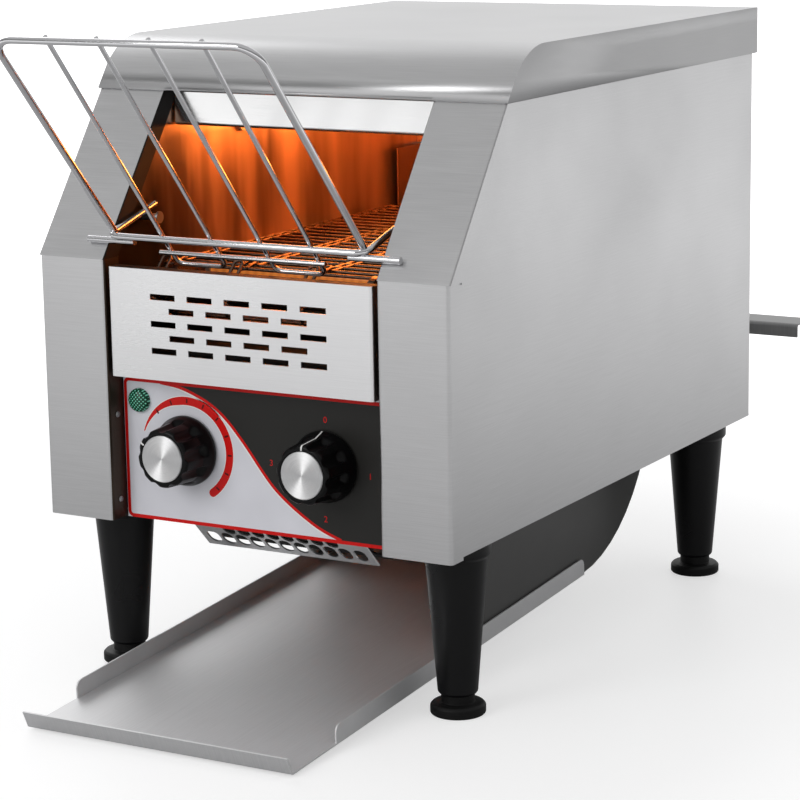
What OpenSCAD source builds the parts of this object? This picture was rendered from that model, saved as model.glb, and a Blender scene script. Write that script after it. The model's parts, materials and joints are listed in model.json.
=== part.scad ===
// Conveyor toaster for single slices: a folded sheet body on four legs, a wire belt that
// carries the bread between quartz tubes, and a chute that returns the toast to the front.
// X runs to the user's right, +Y to the back, Z up. The origin is on the table, under the
// middle of the toaster's length.

/* [Body] */
// Width over the side panels
body_w = 288; // [280:1:310]
// Depth from the stile face to the back panel
body_d = 448; // [440:1:480]
// Height of the stiles' lower edge above the table
leg_h = 106; // [100:1:130]
// Height of the upright stiles, up to the crease
stile_h = 164; // [160:1:180]
// Height of the leaning part of the front
slant_h = 97; // [90:1:110]
// How far the leaning part runs back
slant_setback = 72; // [60:1:84]
// Width of each front stile
stile_w = 48; // [44:1:52]
// Thickness of the outer sheets
skin = 1.2; // [0.8:0.1:1.5]
// Thickness of the inner sheets
inner_skin = 1; // [0.8:0.1:1.2]
// Inside radius of the sheet bends
bend_r = 1.4; // [0.8:0.2:2]
// Width of the inward flanges of the side panels
side_flange = 15; // [10:1:18]
// How far the sides' lower edge is above the stiles' lower edge
side_lift = 2; // [1:0.5:3]
// Length of the stile's lower corner on the side panel
stile_toe = 13.7; // [10:0.1:18]
// Width of the lap of the leaning stiles on the sides
lap_w = 12.4; // [9:0.1:16]
// Thickness of that lap
lap_t = 0.8; // [0.6:0.1:0.8]

/* [Hood] */
// Height of the hood from its skirt's edge to its top
hood_h = 31.5; // [28:0.5:40]
// Radius of the hood's nose
hood_nose_r = 50; // [35:1:60]
// Radius of the hood's long top edges
hood_edge_r = 3; // [2:0.5:5]
// Thickness of the hood's sheet
hood_t = 1; // [0.8:0.1:1.5]
// How far the sides reach up inside the hood
hood_tuck = 8; // [6:1:12]
// Depth of the return under the hood's nose
hood_lip = 9; // [6:1:14]

/* [Vent panel] */
// Height of the slotted panel
vent_h = 68; // [60:1:76]
// Gap between that panel and each stile
vent_gap = 2.7; // [1.5:0.1:4]
// Drop of the panel's top edge below the crease
vent_drop = 3.8; // [2:0.2:6]
// Depth of the panel's side and top returns
vent_return = 10; // [7:1:14]
// Length of a slot
slot_l = 18; // [14:0.5:20]
// Height of a slot
slot_h = 3.7; // [3:0.1:5]
// Distance between slots along a row
slot_pitch = 26.6; // [24:0.2:30]
// Distance between rows of slots
slot_rise = 8.3; // [7:0.1:9.5]
// Number of rows of slots
slot_rows = 5; // [3:1:5]
// Slots in the longer rows
slots_long = 5; // [3:1:5]
// Distance from the panel's lower edge to the lowest slot
slot_margin = 16.3; // [12:0.1:20]

/* [Control panel] */
// Depth of the control panel behind the stiles
panel_recess = 16; // [12:0.5:20]
// Height of the control panel
panel_h = 98; // [94:1:100]
// Thickness of the printed overlay
overlay_t = 0.4; // [0.3:0.1:0.6]
// Distance of the speed knob left of the middle
speed_x = 49; // [45:0.5:54]
// Distance of the selector knob right of the middle
selector_x = 50.5; // [45:0.5:54]
// Height of the knobs' axes above the stiles' lower edge
knob_rise = 46.5; // [42:0.5:52]
// Distance of the lamp from the left stile
lamp_inset = 12.7; // [11:0.1:16]
// Height of the lamp above the stiles' lower edge
lamp_rise = 75; // [70:0.5:80]
// Diameter of the lamp's lens
lamp_d = 15; // [12:0.5:17]

/* [Knobs] */
// Diameter of a knob's skirt
skirt_d = 44; // [40:1:48]
// Diameter of a knob's grip
grip_d = 37; // [34:0.5:39]
// Length of a knob
knob_l = 27.6; // [24:0.2:32]
// Diameter of the spun aluminium disc in a knob
disc_d = 30.5; // [26:0.5:32]
// Number of finger flutes round a knob
flutes = 9; // [6:1:12]
// Diameter of the control spindles
spindle_d = 6; // [5:0.5:7]

/* [Guard] */
// Distance of the perforated guards' ends from the stiles
guard_inset = 33.7; // [26:0.1:41]
// Length of the guards down their slope
guard_l = 36.8; // [34:0.2:42]
// Slope of the guards
guard_a = 45; // [40:1:50]
// Distance of the front guard's top behind the stile face
guard_y = 30; // [26:1:34]
// Distance between the two guards
guard_step = 17; // [14:1:22]
// Width of the guards' slotted holes
guard_hole = 8.5; // [7:0.1:9]
// Length of those holes up the slope
guard_slot = 12.5; // [10:0.1:13]
// Distance between the guards' holes
guard_pitch = 10.7; // [10.5:0.1:12]
// Rows of holes in a guard
guard_rows = 2; // [1:1:2]

/* [Belt] */
// Distance of the front shaft behind the stile face
belt_y = 48; // [46:0.5:54]
// Drop of the belt's upper run below the crease
belt_drop = 8; // [6:0.5:10]
// Distance between the belt's rungs
rung_pitch = 12.7; // [12:0.1:13.2]
// Distance from the rear shaft to the chute's back wall
drop_l = 67; // [60:0.5:80]
// Diameter of a rung
rung_d = 2.4; // [2:0.1:2.8]
// Clearance between the belt and the inner walls
belt_clear = 13.2; // [9:0.1:16]
// Teeth of a belt sprocket
belt_teeth = 8; // [8:4:12]
// Diameter of the belt shafts
shaft_d = 10; // [8:0.5:12]
// Distance of the belt's outer lanes from the rungs' ends
lane_inset = 4; // [3:0.5:6]
// Distance of the belt's inner lanes from the middle
lane_inner = 27; // [20:0.5:35]
// Distance of the belt sprockets inside the outer lanes
sprocket_inset = 10; // [8:0.5:14]

/* [Drive] */
// Pitch of the drive chain
chain_pitch = 6.35; // [6:0.05:6.5]
// Teeth of each chain sprocket
chain_teeth = 12; // [12:4:16]
// Links along each straight run of the chain
chain_run = 11; // [10:1:12]
// Diameter of a chain roller
chain_roller_d = 3.3; // [3:0.1:3.5]
// Distance of the chain's plane outside the inner wall
chain_out = 6; // [5.5:0.1:8]
// Diameter of the gear motor
motor_d = 60; // [50:1:66]
// Length of the gear motor
motor_l = 26; // [22:0.5:27]

/* [Heaters] */
// Diameter of a quartz tube
quartz_d = 11; // [9:0.5:12]
// Distance of the upper tubes below the hood's skirt
upper_drop = 27; // [25:0.5:30]
// Distance of the first upper tube behind the stile face
upper_y = 160; // [150:1:170]
// Distance between the upper tubes
upper_pitch = 70; // [60:1:75]
// Number of upper tubes
upper_count = 3; // [2:1:3]
// Distance of the first lower tube behind the belt's front shaft
lower_y = 72; // [60:1:80]
// Distance between the lower tubes
lower_pitch = 120; // [100:1:130]
// Number of lower tubes
lower_count = 2; // [1:1:2]
// Distance of the reflector above the upper tubes
reflector_gap = 6; // [4:0.5:8]
// Depth of the deflector behind that reflector
deflector_l = 40; // [30:1:44]
// Height of that deflector
deflector_h = 32; // [26:1:36]

/* [Chute and tray] */
// Distance of the chute's back wall in front of the back panel's outer face
chute_back = 53.5; // [46:0.5:60]
// Radius of the chute's bend
chute_r = 120; // [110:1:125]
// Reach of the chute's left cheek under the body, from the chute's back wall
left_cheek = 158.5; // [130:0.5:190]
// Clearance between the chute and the inner walls
chute_clear = 6.2; // [5.2:0.1:9]
// Slope of the tray and the chute's foot
tray_a = 3.5; // [3:0.1:3.6]
// Height of the chute's lowest point above the table
chute_z = 25.5; // [23:0.5:28]
// Side clearance between the tray and the chute
tray_gap = 1; // [0.6:0.1:1.5]
// Height of the tray's side walls
tray_wall = 12; // [10:0.5:14]
// Reach of the tray's lip in front of the stile face
tray_reach = 98; // [80:1:120]
// Length of the tray's flat floor in front of its side walls
tray_tongue = 49; // [40:1:60]

/* [Rack] */
// Height above the crease of the stubs that rest on the leaning stiles
stub_rise = 11.6; // [8:0.1:14]
// How far the stubs reach over the leaning stiles
stub_over = 14; // [8:0.5:24]
// Clearance between the rack's side rails and the inner walls
rail_clear = 6.8; // [6.6:0.1:12]
// How far left of the middle the rack sits, within its side play
rack_side = 2.8; // [0:0.1:3]
// Diameter of the outer wires
rail_d = 4.4; // [4:0.1:5]
// Diameter of the inner wires
rod_d = 3; // [2.6:0.1:4]
// Slope of the rack
rack_a = 48.2; // [45:0.1:52]
// Length of the side rails
rack_l = 166; // [150:1:180]
// Distance between the inner wires
rod_pitch = 35; // [30:0.5:38]
// Bend radius at the rack's top corners
rack_corner = 14; // [10:1:20]
// Distance of the inner wires' feet down the slope from the cross bar
rod_foot = 21; // [16:0.5:28]
// Length of the arms that reach inside
arm_l = 52; // [45:1:60]
// Rise of those arms
arm_a = 15; // [10:1:20]

/* [Rear spacer] */
// Distance of the spacer's bar behind the back panel
spacer_reach = 99.8; // [60:0.2:120]
// Distance of the spacer's ends inside the side panels
spacer_inset = 4; // [0:0.5:20]
// Height of the spacer's top above the table
spacer_z = 157; // [150:1:170]
// Depth of the spacer's top
spacer_top = 31; // [25:1:35]
// Height of the spacer's front flange
spacer_flange = 10; // [8:1:14]
// Distance of the spacer's arms from the middle
spacer_arm_x = 70; // [50:1:80]

/* [Legs] */
// Distance of the legs inside the side panels
leg_inset = 23; // [22:0.5:24]
// Distance of the front legs behind the stile face
leg_front = 47; // [42:1:52]
// Distance of the rear legs in front of the back panel
leg_rear = 45; // [40:1:50]
// Diameter of a leg at its top
leg_top_d = 38; // [34:0.5:40]
// Diameter of a leg at its foot
leg_foot_d = 24.6; // [23:0.2:28]
// Diameter of a foot pad
pad_d = 34; // [30:0.5:38]
// Height of a foot pad
pad_h = 7.5; // [6:0.5:9]
// Height of the collar between pad and leg
collar_h = 5; // [4:0.5:8]
// Diameter of a foot's threaded stem
stem_d = 8; // [6:0.5:10]
// Length of that stem inside the leg
stem_l = 40; // [30:1:50]

/* [Clearances] */
// Gap between pieces that move past each other
gap = 0.4; // [0.3:0.05:0.6]
// Radial clearance of a spindle or shaft in its bearing
running = 0.05; // [0.02:0.01:0.1]

/* [Hidden] */

// Facets of true circles, and steps of the bends drawn as polygons
$fn = 48;
bend_steps = 4;
// Overlap of pieces that are welded or pressed together
weld = 0.2;

// Outline of the body
half_w = body_w / 2;
open_hw = half_w - stile_w;
crease_z = leg_h + stile_h;
hood_z = crease_z + slant_h;
top_z = hood_z + hood_h;
side_z = leg_h + side_lift;
slant_a = atan2(slant_h, slant_setback);
hood_hw = half_w + lap_t + hood_t + 0.2;
// Level of the sheet that closes the body below
floor_z = side_z + skin;
// Inner face of the walls that hold the belt and the heaters
wall_x = open_hw + skin;

// Height at which the two side panels pass under the hood
side_top_z = hood_z + hood_tuck;
// Front edge of the hood's skirt, clear of the leaning stiles' face
hood_y = slant_setback - (hood_t + 0.2) / sin(slant_a);
// Length of the leaning stiles, with the end under the hood
slant_l = norm([slant_setback, slant_h]) + hood_tuck;

// Vent panel and control panel
vent_top = crease_z - vent_drop;
vent_bottom = vent_top - vent_h;
vent_hw = open_hw - vent_gap;
panel_z = leg_h - 0.4;
panel_hw = open_hw - 0.2;
knob_z = leg_h + knob_rise;
lamp_z = leg_h + lamp_rise;
lamp_x = open_hw - lamp_inset;
bush_d = 10;
bush_nut = 14;
knob_face_y = panel_recess - overlay_t - gap;

// Chute and tray
chute_y = body_d - chute_back;
chute_hw = wall_x - chute_clear;
chute_cy = chute_y - chute_r;
chute_cz = chute_z + chute_r;
foot_y = chute_cy + chute_r * sin(tray_a);
foot_z = chute_cz - chute_r * cos(tray_a);
tray_t = 1;
tray_hw = chute_hw + tray_gap + tray_t;
tray_end = foot_y - 2;
tray_start = -tray_reach;
lip_h = 12;
// Lower edge of the chute's cheeks, over the tray
cheek_z = foot_z + gap;

// Belt and drive
belt_hw = wall_x - belt_clear;
lane_outer = belt_hw - lane_inset;
sprocket_x = lane_outer - sprocket_inset;
rungs = floor((chute_y - drop_l - belt_y) / rung_pitch);
rung_r = rung_d / 2;
belt_r = rung_pitch / 2 / sin(180 / belt_teeth);
belt_top = crease_z - belt_drop;
shaft_z = belt_top - belt_r;
rear_y = belt_y + rungs * rung_pitch;
arc_rungs = belt_teeth / 2;
bush_wall = 3;
bush_outer_d = shaft_d + 2 * bush_wall;
chain_r = chain_pitch / 2 / sin(180 / chain_teeth);
wheel_x = wall_x + inner_skin + chain_out;
motor_z = shaft_z - chain_run * chain_pitch;
wheel_t = 2.8;
bracket_t = 1.5;
bracket_x = wheel_x + 4.6;

// Heat shield over the controls, clear of the belt
shield_depth = 44;
shield_clear = 14;
shield_y = belt_y + shield_depth;
shield_z = shaft_z - belt_r - shield_clear;
upper_z = hood_z - upper_drop;
lip_z = hood_z - 23;
lip_y = slant_setback + 10;
upper_plate_z = upper_z + quartz_d / 2 + reflector_gap;
chute_top = upper_z - 40;
insulator_d = quartz_d + 4;

// Rack: its stubs rest on the leaning stiles, and each wire lies on the one before
rail_r = rail_d / 2;
rod_r = rod_d / 2;
wire_step = rail_d - weld;
rail_hw = wall_x - rail_clear - rail_r;
stub_hw = open_hw + stub_over;
stub_y = stub_rise / tan(slant_a) - (rail_r + gap) / sin(slant_a);
stub_z = crease_z + stub_rise;
bar_y = stub_y - cos(rack_a) * wire_step;
bar_z = stub_z + sin(rack_a) * wire_step;
rail_y = bar_y + sin(rack_a) * wire_step;
rail_z = bar_z + cos(rack_a) * wire_step;
rod_z = rail_r + rod_r - weld;
arm_x = rail_hw + rail_r;
elbow_r = 8;
rod_bend = 5;

// Length of the whole toaster, from the rack's top wire to the spacer
rack_front = -(rail_y - rack_l * cos(rack_a)) + rail_r;
rear_reach = body_d + spacer_reach + spacer_top;
face_y = (rack_front - rear_reach) / 2;

leg_x = half_w - leg_inset;
leg_rear_y = body_d - leg_rear;
leg_foot_z = pad_h + collar_h + gap;

// Where each piece's own frame, with Y from the stile face, sits in the toaster's frame
module placed() { translate([0, face_y, 0]) children(); }

// An outline in Y and Z, drawn as a plate from x to x + t
module plate_x(x, t) { translate([x, 0, 0]) rotate([90, 0, 90]) linear_extrude(t) children(); }

// An outline in X and Z, drawn as a plate from y to y + t
module plate_y(y, t) { translate([0, y + t, 0]) rotate([90, 0, 0]) linear_extrude(t) children(); }

// A block from one corner to the opposite one
module block(a, b) { translate(a) cube(b - a); }

// A round bar between two points
module bar(p, q, d) {
    v = q - p;
    translate(p) rotate([0, atan2(norm([v[0], v[1]]), v[2]), atan2(v[1], v[0])])
        cylinder(d = d, h = norm(v));
}

// A round bar along X, centred at y and z
module bar_x(x0, x1, y, z, d) {
    translate([x0, y, z]) rotate([0, 90, 0]) cylinder(d = d, h = x1 - x0);
}

// A round bar along Y, centred at x and z
module bar_y(y0, y1, x, z, d) {
    translate([x, y0, z]) rotate([-90, 0, 0]) cylinder(d = d, h = y1 - y0);
}

module both_sides() { children(); mirror([1, 0, 0]) children(); }

// Bent sheet: a line of points gets its thickness on its left, and its bends get radii
function unit(v) = v / norm(v);
function left(v) = [-v[1], v[0]];
function turn(a, b) = a[0] * b[1] - a[1] * b[0];
function offset_line(p, t) = [for (i = [0:len(p) - 1])
    let (
        a = left(unit(i == 0 ? p[1] - p[0] : p[i] - p[i - 1])),
        b = left(unit(i == len(p) - 1 ? p[i] - p[i - 1] : p[i + 1] - p[i]))
    ) p[i] + t * (a + b) / (1 + a * b)];
function corner_arc(a, p, b, r) =
    let (
        u = unit(p - a), v = unit(b - p), s = sign(turn(u, v)), bend = acos(u * v),
        c = p - u * r * tan(bend / 2) + left(u) * r * s,
        start = -left(u) * s, side = u
    ) [for (k = [0:bend_steps]) let (t = bend * k / bend_steps) c + r * (start * cos(t) + side * sin(t))];
function rounded(p, r_left, r_right) = [for (i = [0:len(p) - 1])
    if (i == 0 || i == len(p) - 1) p[i]
    else each corner_arc(p[i - 1], p[i], p[i + 1],
        turn(p[i] - p[i - 1], p[i + 1] - p[i]) > 0 ? r_left : r_right)];
function reversed(p) = [for (i = [len(p) - 1:-1:0]) p[i]];
module bent_sheet(p, t, r = bend_r) {
    polygon(concat(rounded(p, r + t, r), reversed(rounded(offset_line(p, t), r, r + t))));
}

// ---- Body ----

// Leaning front edge of a side, as a region in Y and Z from a height upwards
module side_outline(low, high, inset = 0) {
    polygon([[inset, low], [inset, crease_z], [inset + (high - crease_z) / tan(slant_a), high],
        [body_d, high], [body_d, low]]);
}

module side_panel() {
    stile = [[open_hw, panel_recess], [open_hw, 0], [half_w, 0], [half_w, body_d - skin],
        [half_w - side_flange, body_d - skin]];
    side = [[half_w, -1], [half_w, body_d - skin], [half_w - side_flange, body_d - skin]];
    difference() {
        union() {
            translate([0, 0, leg_h]) linear_extrude(stile_h) bent_sheet(stile, skin);
            intersection() {
                translate([0, 0, crease_z - weld]) linear_extrude(side_top_z - crease_z)
                    bent_sheet(side, skin);
                plate_x(0, half_w + 1) side_outline(crease_z - 1, side_top_z, (lap_t + 0.5) / sin(slant_a));
            }
            block([half_w - side_flange, stile_toe + skin, side_z],
                [half_w - weld, body_d - 2 * skin, side_z + skin]);
        }
        // The side's lower edge is cut back behind the stile's corner
        block([half_w - side_flange - 1, stile_toe, leg_h - 1], [half_w + 1, body_d + 1, side_z]);
    }
}
module side_panel_right() { placed() color("#b4b4b5") side_panel(); }
module side_panel_left() { placed() color("#b4b4b5") mirror([1, 0, 0]) side_panel(); }

// Leaning stile: folded round onto the side panel, and inwards beside the opening
module slant_stile() {
    section = [[open_hw, lap_w], [open_hw, 0], [half_w + lap_t, 0], [half_w + lap_t, lap_w]];
    difference() {
        rotate_to_slant() linear_extrude(slant_l) bent_sheet(section, lap_t, 0.3);
        // The crease trims the lower end
        block([open_hw - 1, -lap_w, crease_z - lap_w - 1], [half_w + 2, lap_w + 2, crease_z]);
    }
}
// Turns an upright extrusion so that it stands on the crease and leans with the front
module rotate_to_slant() { translate([0, 0, crease_z]) rotate([slant_a - 90, 0, 0]) children(); }
module slant_stile_right() { placed() color("#c6c6c7") slant_stile(); }
module slant_stile_left() { placed() color("#c6c6c7") mirror([1, 0, 0]) slant_stile(); }

// Side outline of the hood, with its thickness taken off for the inside
module hood_outline(t = 0) {
    r = hood_nose_r - t;
    nose_z = top_z - hood_nose_r;
    run = (top_z - hood_nose_r + hood_nose_r * cos(slant_a) - hood_z) / tan(slant_a);
    nose_y = hood_y + run + hood_nose_r * sin(slant_a);
    front = [nose_y - r * sin(slant_a), nose_z + r * cos(slant_a)];
    steps = 12;
    polygon(concat(
        [[front[0] - (front[1] - hood_z + t) / tan(slant_a), hood_z - t], front],
        [for (k = [1:steps - 1]) let (a = slant_a * (1 - k / steps))
            [nose_y - r * sin(a), nose_z + r * cos(a)]],
        [[nose_y, top_z - t], [body_d + hood_t - t, top_z - t], [body_d + hood_t - t, hood_z - t]]));
}
// Cross-section of the hood, rounded along its two top edges
module hood_section(t = 0) {
    r = hood_edge_r - t;
    c = hood_hw - hood_edge_r;
    n = 5;
    polygon(concat([[hood_hw - t, hood_z - 2 * t]],
        [for (k = [0:n]) [c + r * cos(90 * k / n), top_z - hood_edge_r + r * sin(90 * k / n)]],
        [for (k = [n:-1:0]) [-c - r * cos(90 * k / n), top_z - hood_edge_r + r * sin(90 * k / n)]],
        [[-hood_hw + t, hood_z - 2 * t]]));
}
module top_cover() {
    placed() color("#d2d2d3") {
        difference() {
            intersection() {
                plate_x(-hood_hw, 2 * hood_hw) hood_outline();
                plate_y(0, body_d + 2 * hood_t) hood_section();
            }
            intersection() {
                plate_x(-hood_hw + hood_t, 2 * (hood_hw - hood_t)) hood_outline(hood_t);
                plate_y(0, body_d + 2 * hood_t) hood_section(hood_t);
            }
        }
        // Return under the nose, between the leaning stiles
        plate_x(-open_hw + gap, 2 * (open_hw - gap)) polygon([
            [hood_y + weld, hood_z], [hood_y + hood_lip, hood_z],
            [hood_y + hood_lip, hood_z + hood_t], [hood_y + hood_t, hood_z + hood_t]]);
    }
}

// Back panel: louvres pressed out over its slots, and a hole for the cable gland
louvre_w = 70;
louvre_rise = 14;
louvre_rows = 7;
gland_x = half_w - 40;
gland_z = side_z + 26;
gland_d = 16;
module louvre_at(i) {
    both_sides() translate([55, 0, hood_z - 45 - i * louvre_rise]) children();
}
module back_panel() {
    placed() color("#b9b9ba") difference() {
        union() {
            block([-half_w + skin + gap, body_d - skin, side_z + gap],
                [half_w - skin - gap, body_d, hood_z + hood_tuck]);
            for (i = [0:louvre_rows - 1]) louvre_at(i) plate_x(-louvre_w / 2, louvre_w)
                polygon([[body_d - skin / 2, 6], [body_d + 3, 0], [body_d - skin / 2, 0]]);
        }
        for (i = [0:louvre_rows - 1]) louvre_at(i) plate_x(-louvre_w / 2 + 1, louvre_w - 2)
            polygon([[body_d - skin - 1, 6 - 1], [body_d - skin, 6 - 1.6], [body_d + 1.6, 0.6],
                [body_d + 1.6, -1], [body_d - skin - 1, -1]]);
        bar_y(body_d - skin - 1, body_d + 1, -gland_x, gland_z, gland_d);
    }
}

// Base plate: closes the body below, open where the toast comes down
upstand = 8;
module base_plate() {
    placed() color("#a8a8a9") difference() {
        union() {
            block([-half_w + skin + gap, panel_recess + skin + gap, side_z + skin],
                [half_w - skin - gap, body_d - 2 * skin - gap, floor_z + skin]);
            // Upstand round the opening
            both_sides() block([chute_hw + 1.4, shield_y + 12, floor_z],
                [chute_hw + 2.6, chute_y - 8, floor_z + upstand]);
        }
        block([-chute_hw - 1.4, shield_y + 4, side_z],
            [chute_hw + 1.4, chute_y + 4, floor_z + upstand + 1]);
        // Notches for the side returns of the control panel
        both_sides() block([panel_hw - skin - gap, panel_recess, side_z],
            [panel_hw + gap, guard_y - 2 + gap, floor_z + 2 * skin]);
        for (x = [-leg_x, leg_x], y = [leg_front, leg_rear_y])
            translate([x, y, side_z]) cylinder(d = stem_d + 1, h = 3 * skin);
        for (x = [-open_hw - 12, open_hw + 12], y = [leg_front + 100:24:leg_rear_y - 70])
            translate([x, y, side_z]) cylinder(d = 6, h = 3 * skin);
    }
}

module front_vent_panel() {
    placed() color("#dededf") difference() {
        union() {
            translate([0, 0, vent_bottom]) linear_extrude(vent_h) bent_sheet(
                [[-vent_hw, vent_return], [-vent_hw, 0], [vent_hw, 0], [vent_hw, vent_return]], skin);
            block([-vent_hw + skin, skin / 2, vent_top - skin], [vent_hw - skin, vent_return, vent_top]);
            block([-vent_hw + skin, skin / 2, vent_bottom],
                [vent_hw - skin, panel_recess - overlay_t - gap, vent_bottom + skin]);
        }
        for (r = [0:slot_rows - 1]) {
            count = slots_long - r % 2;
            for (i = [0:count - 1])
                translate([(i - (count - 1) / 2) * slot_pitch - slot_l / 2, -1,
                    vent_bottom + slot_margin + r * slot_rise])
                    cube([slot_l, skin + 2, slot_h]);
        }
    }
}

// ---- Controls ----

module at_speed() { translate([-speed_x, 0, knob_z]) children(); }
module at_selector() { translate([selector_x, 0, knob_z]) children(); }
module along_y() { rotate([-90, 0, 0]) children(); }

module control_holes(d) {
    at_speed() along_y() cylinder(d = d, h = 4 * panel_recess, center = true);
    at_selector() along_y() cylinder(d = d, h = 4 * panel_recess, center = true);
    translate([-lamp_x, 0, lamp_z]) along_y() cylinder(d = lamp_d - 3, h = 4 * panel_recess, center = true);
}
module control_panel() {
    placed() color("#9a9a9c") difference() {
        union() {
            block([-panel_hw, panel_recess, panel_z], [panel_hw, panel_recess + skin, panel_z + panel_h]);
            block([-panel_hw, panel_recess, panel_z], [panel_hw, guard_y - 2, panel_z + skin]);
            both_sides() block([panel_hw - skin, panel_recess, panel_z],
                [panel_hw, guard_y - 2, panel_z + panel_h]);
        }
        control_holes(bush_d);
    }
}
module control_overlay() {
    placed() color("#d7d7dc") difference() {
        block([-panel_hw + 0.3, panel_recess - overlay_t, panel_z],
            [panel_hw - 0.3, panel_recess, panel_z + panel_h]);
        control_holes(bush_d);
    }
}

// Round knob: bell-shaped skirt, fluted grip and a recess for its disc
knob_front_y = knob_face_y - knob_l;
disc_t = 1.2;
module knob() {
    grip_l = knob_l - 11;
    along_y_forward() difference() {
        rotate_extrude() polygon([
            [0, 0], [skirt_d / 2 - 1, 0], [skirt_d / 2, 1], [skirt_d / 2, 3.2],
            [skirt_d / 2 - 1.2, 6.2], [grip_d / 2 + 0.6, 9.4], [grip_d / 2, 11],
            [grip_d / 2 - 1, knob_l - 1.4], [grip_d / 2 - 2.2, knob_l - 0.2],
            [disc_d / 2 + 0.3, knob_l], [disc_d / 2, knob_l - disc_t + 0.2], [0, knob_l - disc_t + 0.2]]);
        for (i = [0:flutes - 1]) rotate([0, 0, 360 * (i + 0.5) / flutes])
            translate([grip_d / 2 + 1.6, 0, 8.5]) cylinder(d = 8, h = grip_l + 4);
        translate([0, 0, -1]) cylinder(d = spindle_d, h = knob_l - 5);
        // Room for the panel nut
        translate([0, 0, -1]) cylinder(d = bush_nut + 4, h = 5);
    }
}
module along_y_forward() { translate([0, knob_face_y, 0]) rotate([90, 0, 0]) children(); }
module knob_disc() {
    along_y_forward() translate([0, 0, knob_l - disc_t + 0.2]) rotate_extrude() polygon([
        [0, 0], [disc_d / 2 - 0.2, 0], [disc_d / 2 - 0.2, disc_t - 0.2], [disc_d / 2 - 0.7, disc_t + 0.2],
        [0, disc_t + 0.2]]);
}
spindle_back = 22;
module spindle() { bar_y(knob_front_y + 7, panel_recess + spindle_back, 0, 0, spindle_d); }

module speed_knob() { placed() color("#161616") at_speed() rotate([0, -60, 0]) knob(); }
module speed_knob_disc() { placed() color("#cfcfd0") at_speed() knob_disc(); }
module speed_spindle() { placed() color("#b0b0b2") at_speed() spindle(); }
module selector_knob() { placed() color("#161616") at_selector() knob(); }
module selector_knob_disc() { placed() color("#cfcfd0") at_selector() knob_disc(); }
module selector_spindle() { placed() color("#b0b0b2") at_selector() spindle(); }

// Threaded bush and nut that hold a control in the panel, with the spindle's bore
module control_bush(body_y) {
    difference() {
        union() {
            bar_y(panel_recess - 2.6, body_y + 1, 0, 0, bush_d);
            translate([0, panel_recess - overlay_t, 0]) rotate([90, 0, 0])
                cylinder(d = bush_nut, h = 2, $fn = 6);
            children();
        }
        bar_y(panel_recess - 4, panel_recess + spindle_back + 1, 0, 0, spindle_d + 2 * running);
    }
}
module speed_control() {
    y0 = panel_recess + skin;
    placed() color("#2b4a7a") at_speed() control_bush(y0) {
        bar_y(y0, y0 + 26, 0, 0, 30);
        for (x = [-8, 0, 8]) block([x - 1.5, y0 + 25, -20], [x + 1.5, y0 + 26, 0]);
    }
}
module selector_switch() {
    y0 = panel_recess + skin;
    wafer = 11;
    placed() color("#d8d2c0") at_selector() control_bush(y0) {
        for (i = [0:2]) block([-20, y0 + i * (wafer + 1), -20], [20, y0 + i * (wafer + 1) + wafer, 20]);
        block([-15, y0, -15], [15, y0 + 3 * wafer + 2, 15]);
    }
}
module indicator_lamp() {
    placed() color("#3a3a3a") translate([-lamp_x, 0, lamp_z]) {
        bar_y(panel_recess - overlay_t, panel_recess + 26, 0, 0, lamp_d - 3);
        bar_y(panel_recess + skin, panel_recess + skin + 4, 0, 0, lamp_d - 0.4);
    }
}
module indicator_lens() {
    y0 = panel_recess - overlay_t;
    placed() color("#0f7a4f") translate([-lamp_x, y0, lamp_z]) rotate([90, 0, 0])
        rotate_extrude() polygon([[0, 0], [lamp_d / 2, 0], [lamp_d / 2, 1.6], [lamp_d / 2 - 0.8, 3],
            [lamp_d / 2 - 2.4, 4.2], [0, 4.9]]);
}

// ---- Guards and heat shield ----

guard_hw = open_hw - guard_inset;

// Outline of a hole, with round ends
module guard_hole_outline() {
    straight = guard_slot - guard_hole;
    for (end = [-0.5, 0.5]) translate([0, end * straight]) circle(d = guard_hole, $fn = 24);
    square([guard_hole, straight], center = true);
}
// A perforated plate that hangs under the body, with a flange screwed to the base
module guard() {
    drop = guard_l * sin(guard_a);
    run = guard_l * cos(guard_a);
    top = side_z + skin;
    first = guard_slot / 2 + 3.8;
    difference() {
        plate_x(-guard_hw, 2 * guard_hw) bent_sheet(
            [[-8, top - inner_skin], [0, top - inner_skin], [run, top - inner_skin - drop]], inner_skin, 1);
        translate([0, run, top - inner_skin - drop]) rotate([180 - guard_a, 0, 0])
            for (r = [0:guard_rows - 1]) {
                // The second row has three holes fewer, between those of the first
                count = floor((2 * guard_hw - guard_hole - 3) / guard_pitch) + 1 - 3 * r;
                for (i = [0:count - 1])
                    translate([(i - (count - 1) / 2) * guard_pitch, first + r * guard_slot, -4])
                        linear_extrude(8) guard_hole_outline();
            }
    }
}
module front_guard() { placed() color("#b9b9ba") translate([0, guard_y, 0]) guard(); }
module inner_guard() { placed() color("#8b8b8c") translate([0, guard_y + guard_step, 0]) guard(); }

// Bulkhead and roof that keep the heat off the controls
module heat_shield() {
    placed() color("#8f8f90") plate_x(-wall_x + gap, 2 * (wall_x - gap)) bent_sheet([
        [shield_y - 12, floor_z + skin], [shield_y, floor_z + skin], [shield_y, shield_z],
        [panel_recess + 1, shield_z], [panel_recess + 1, shield_z - 8]], inner_skin);
}

// ---- Heating chamber ----

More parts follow.
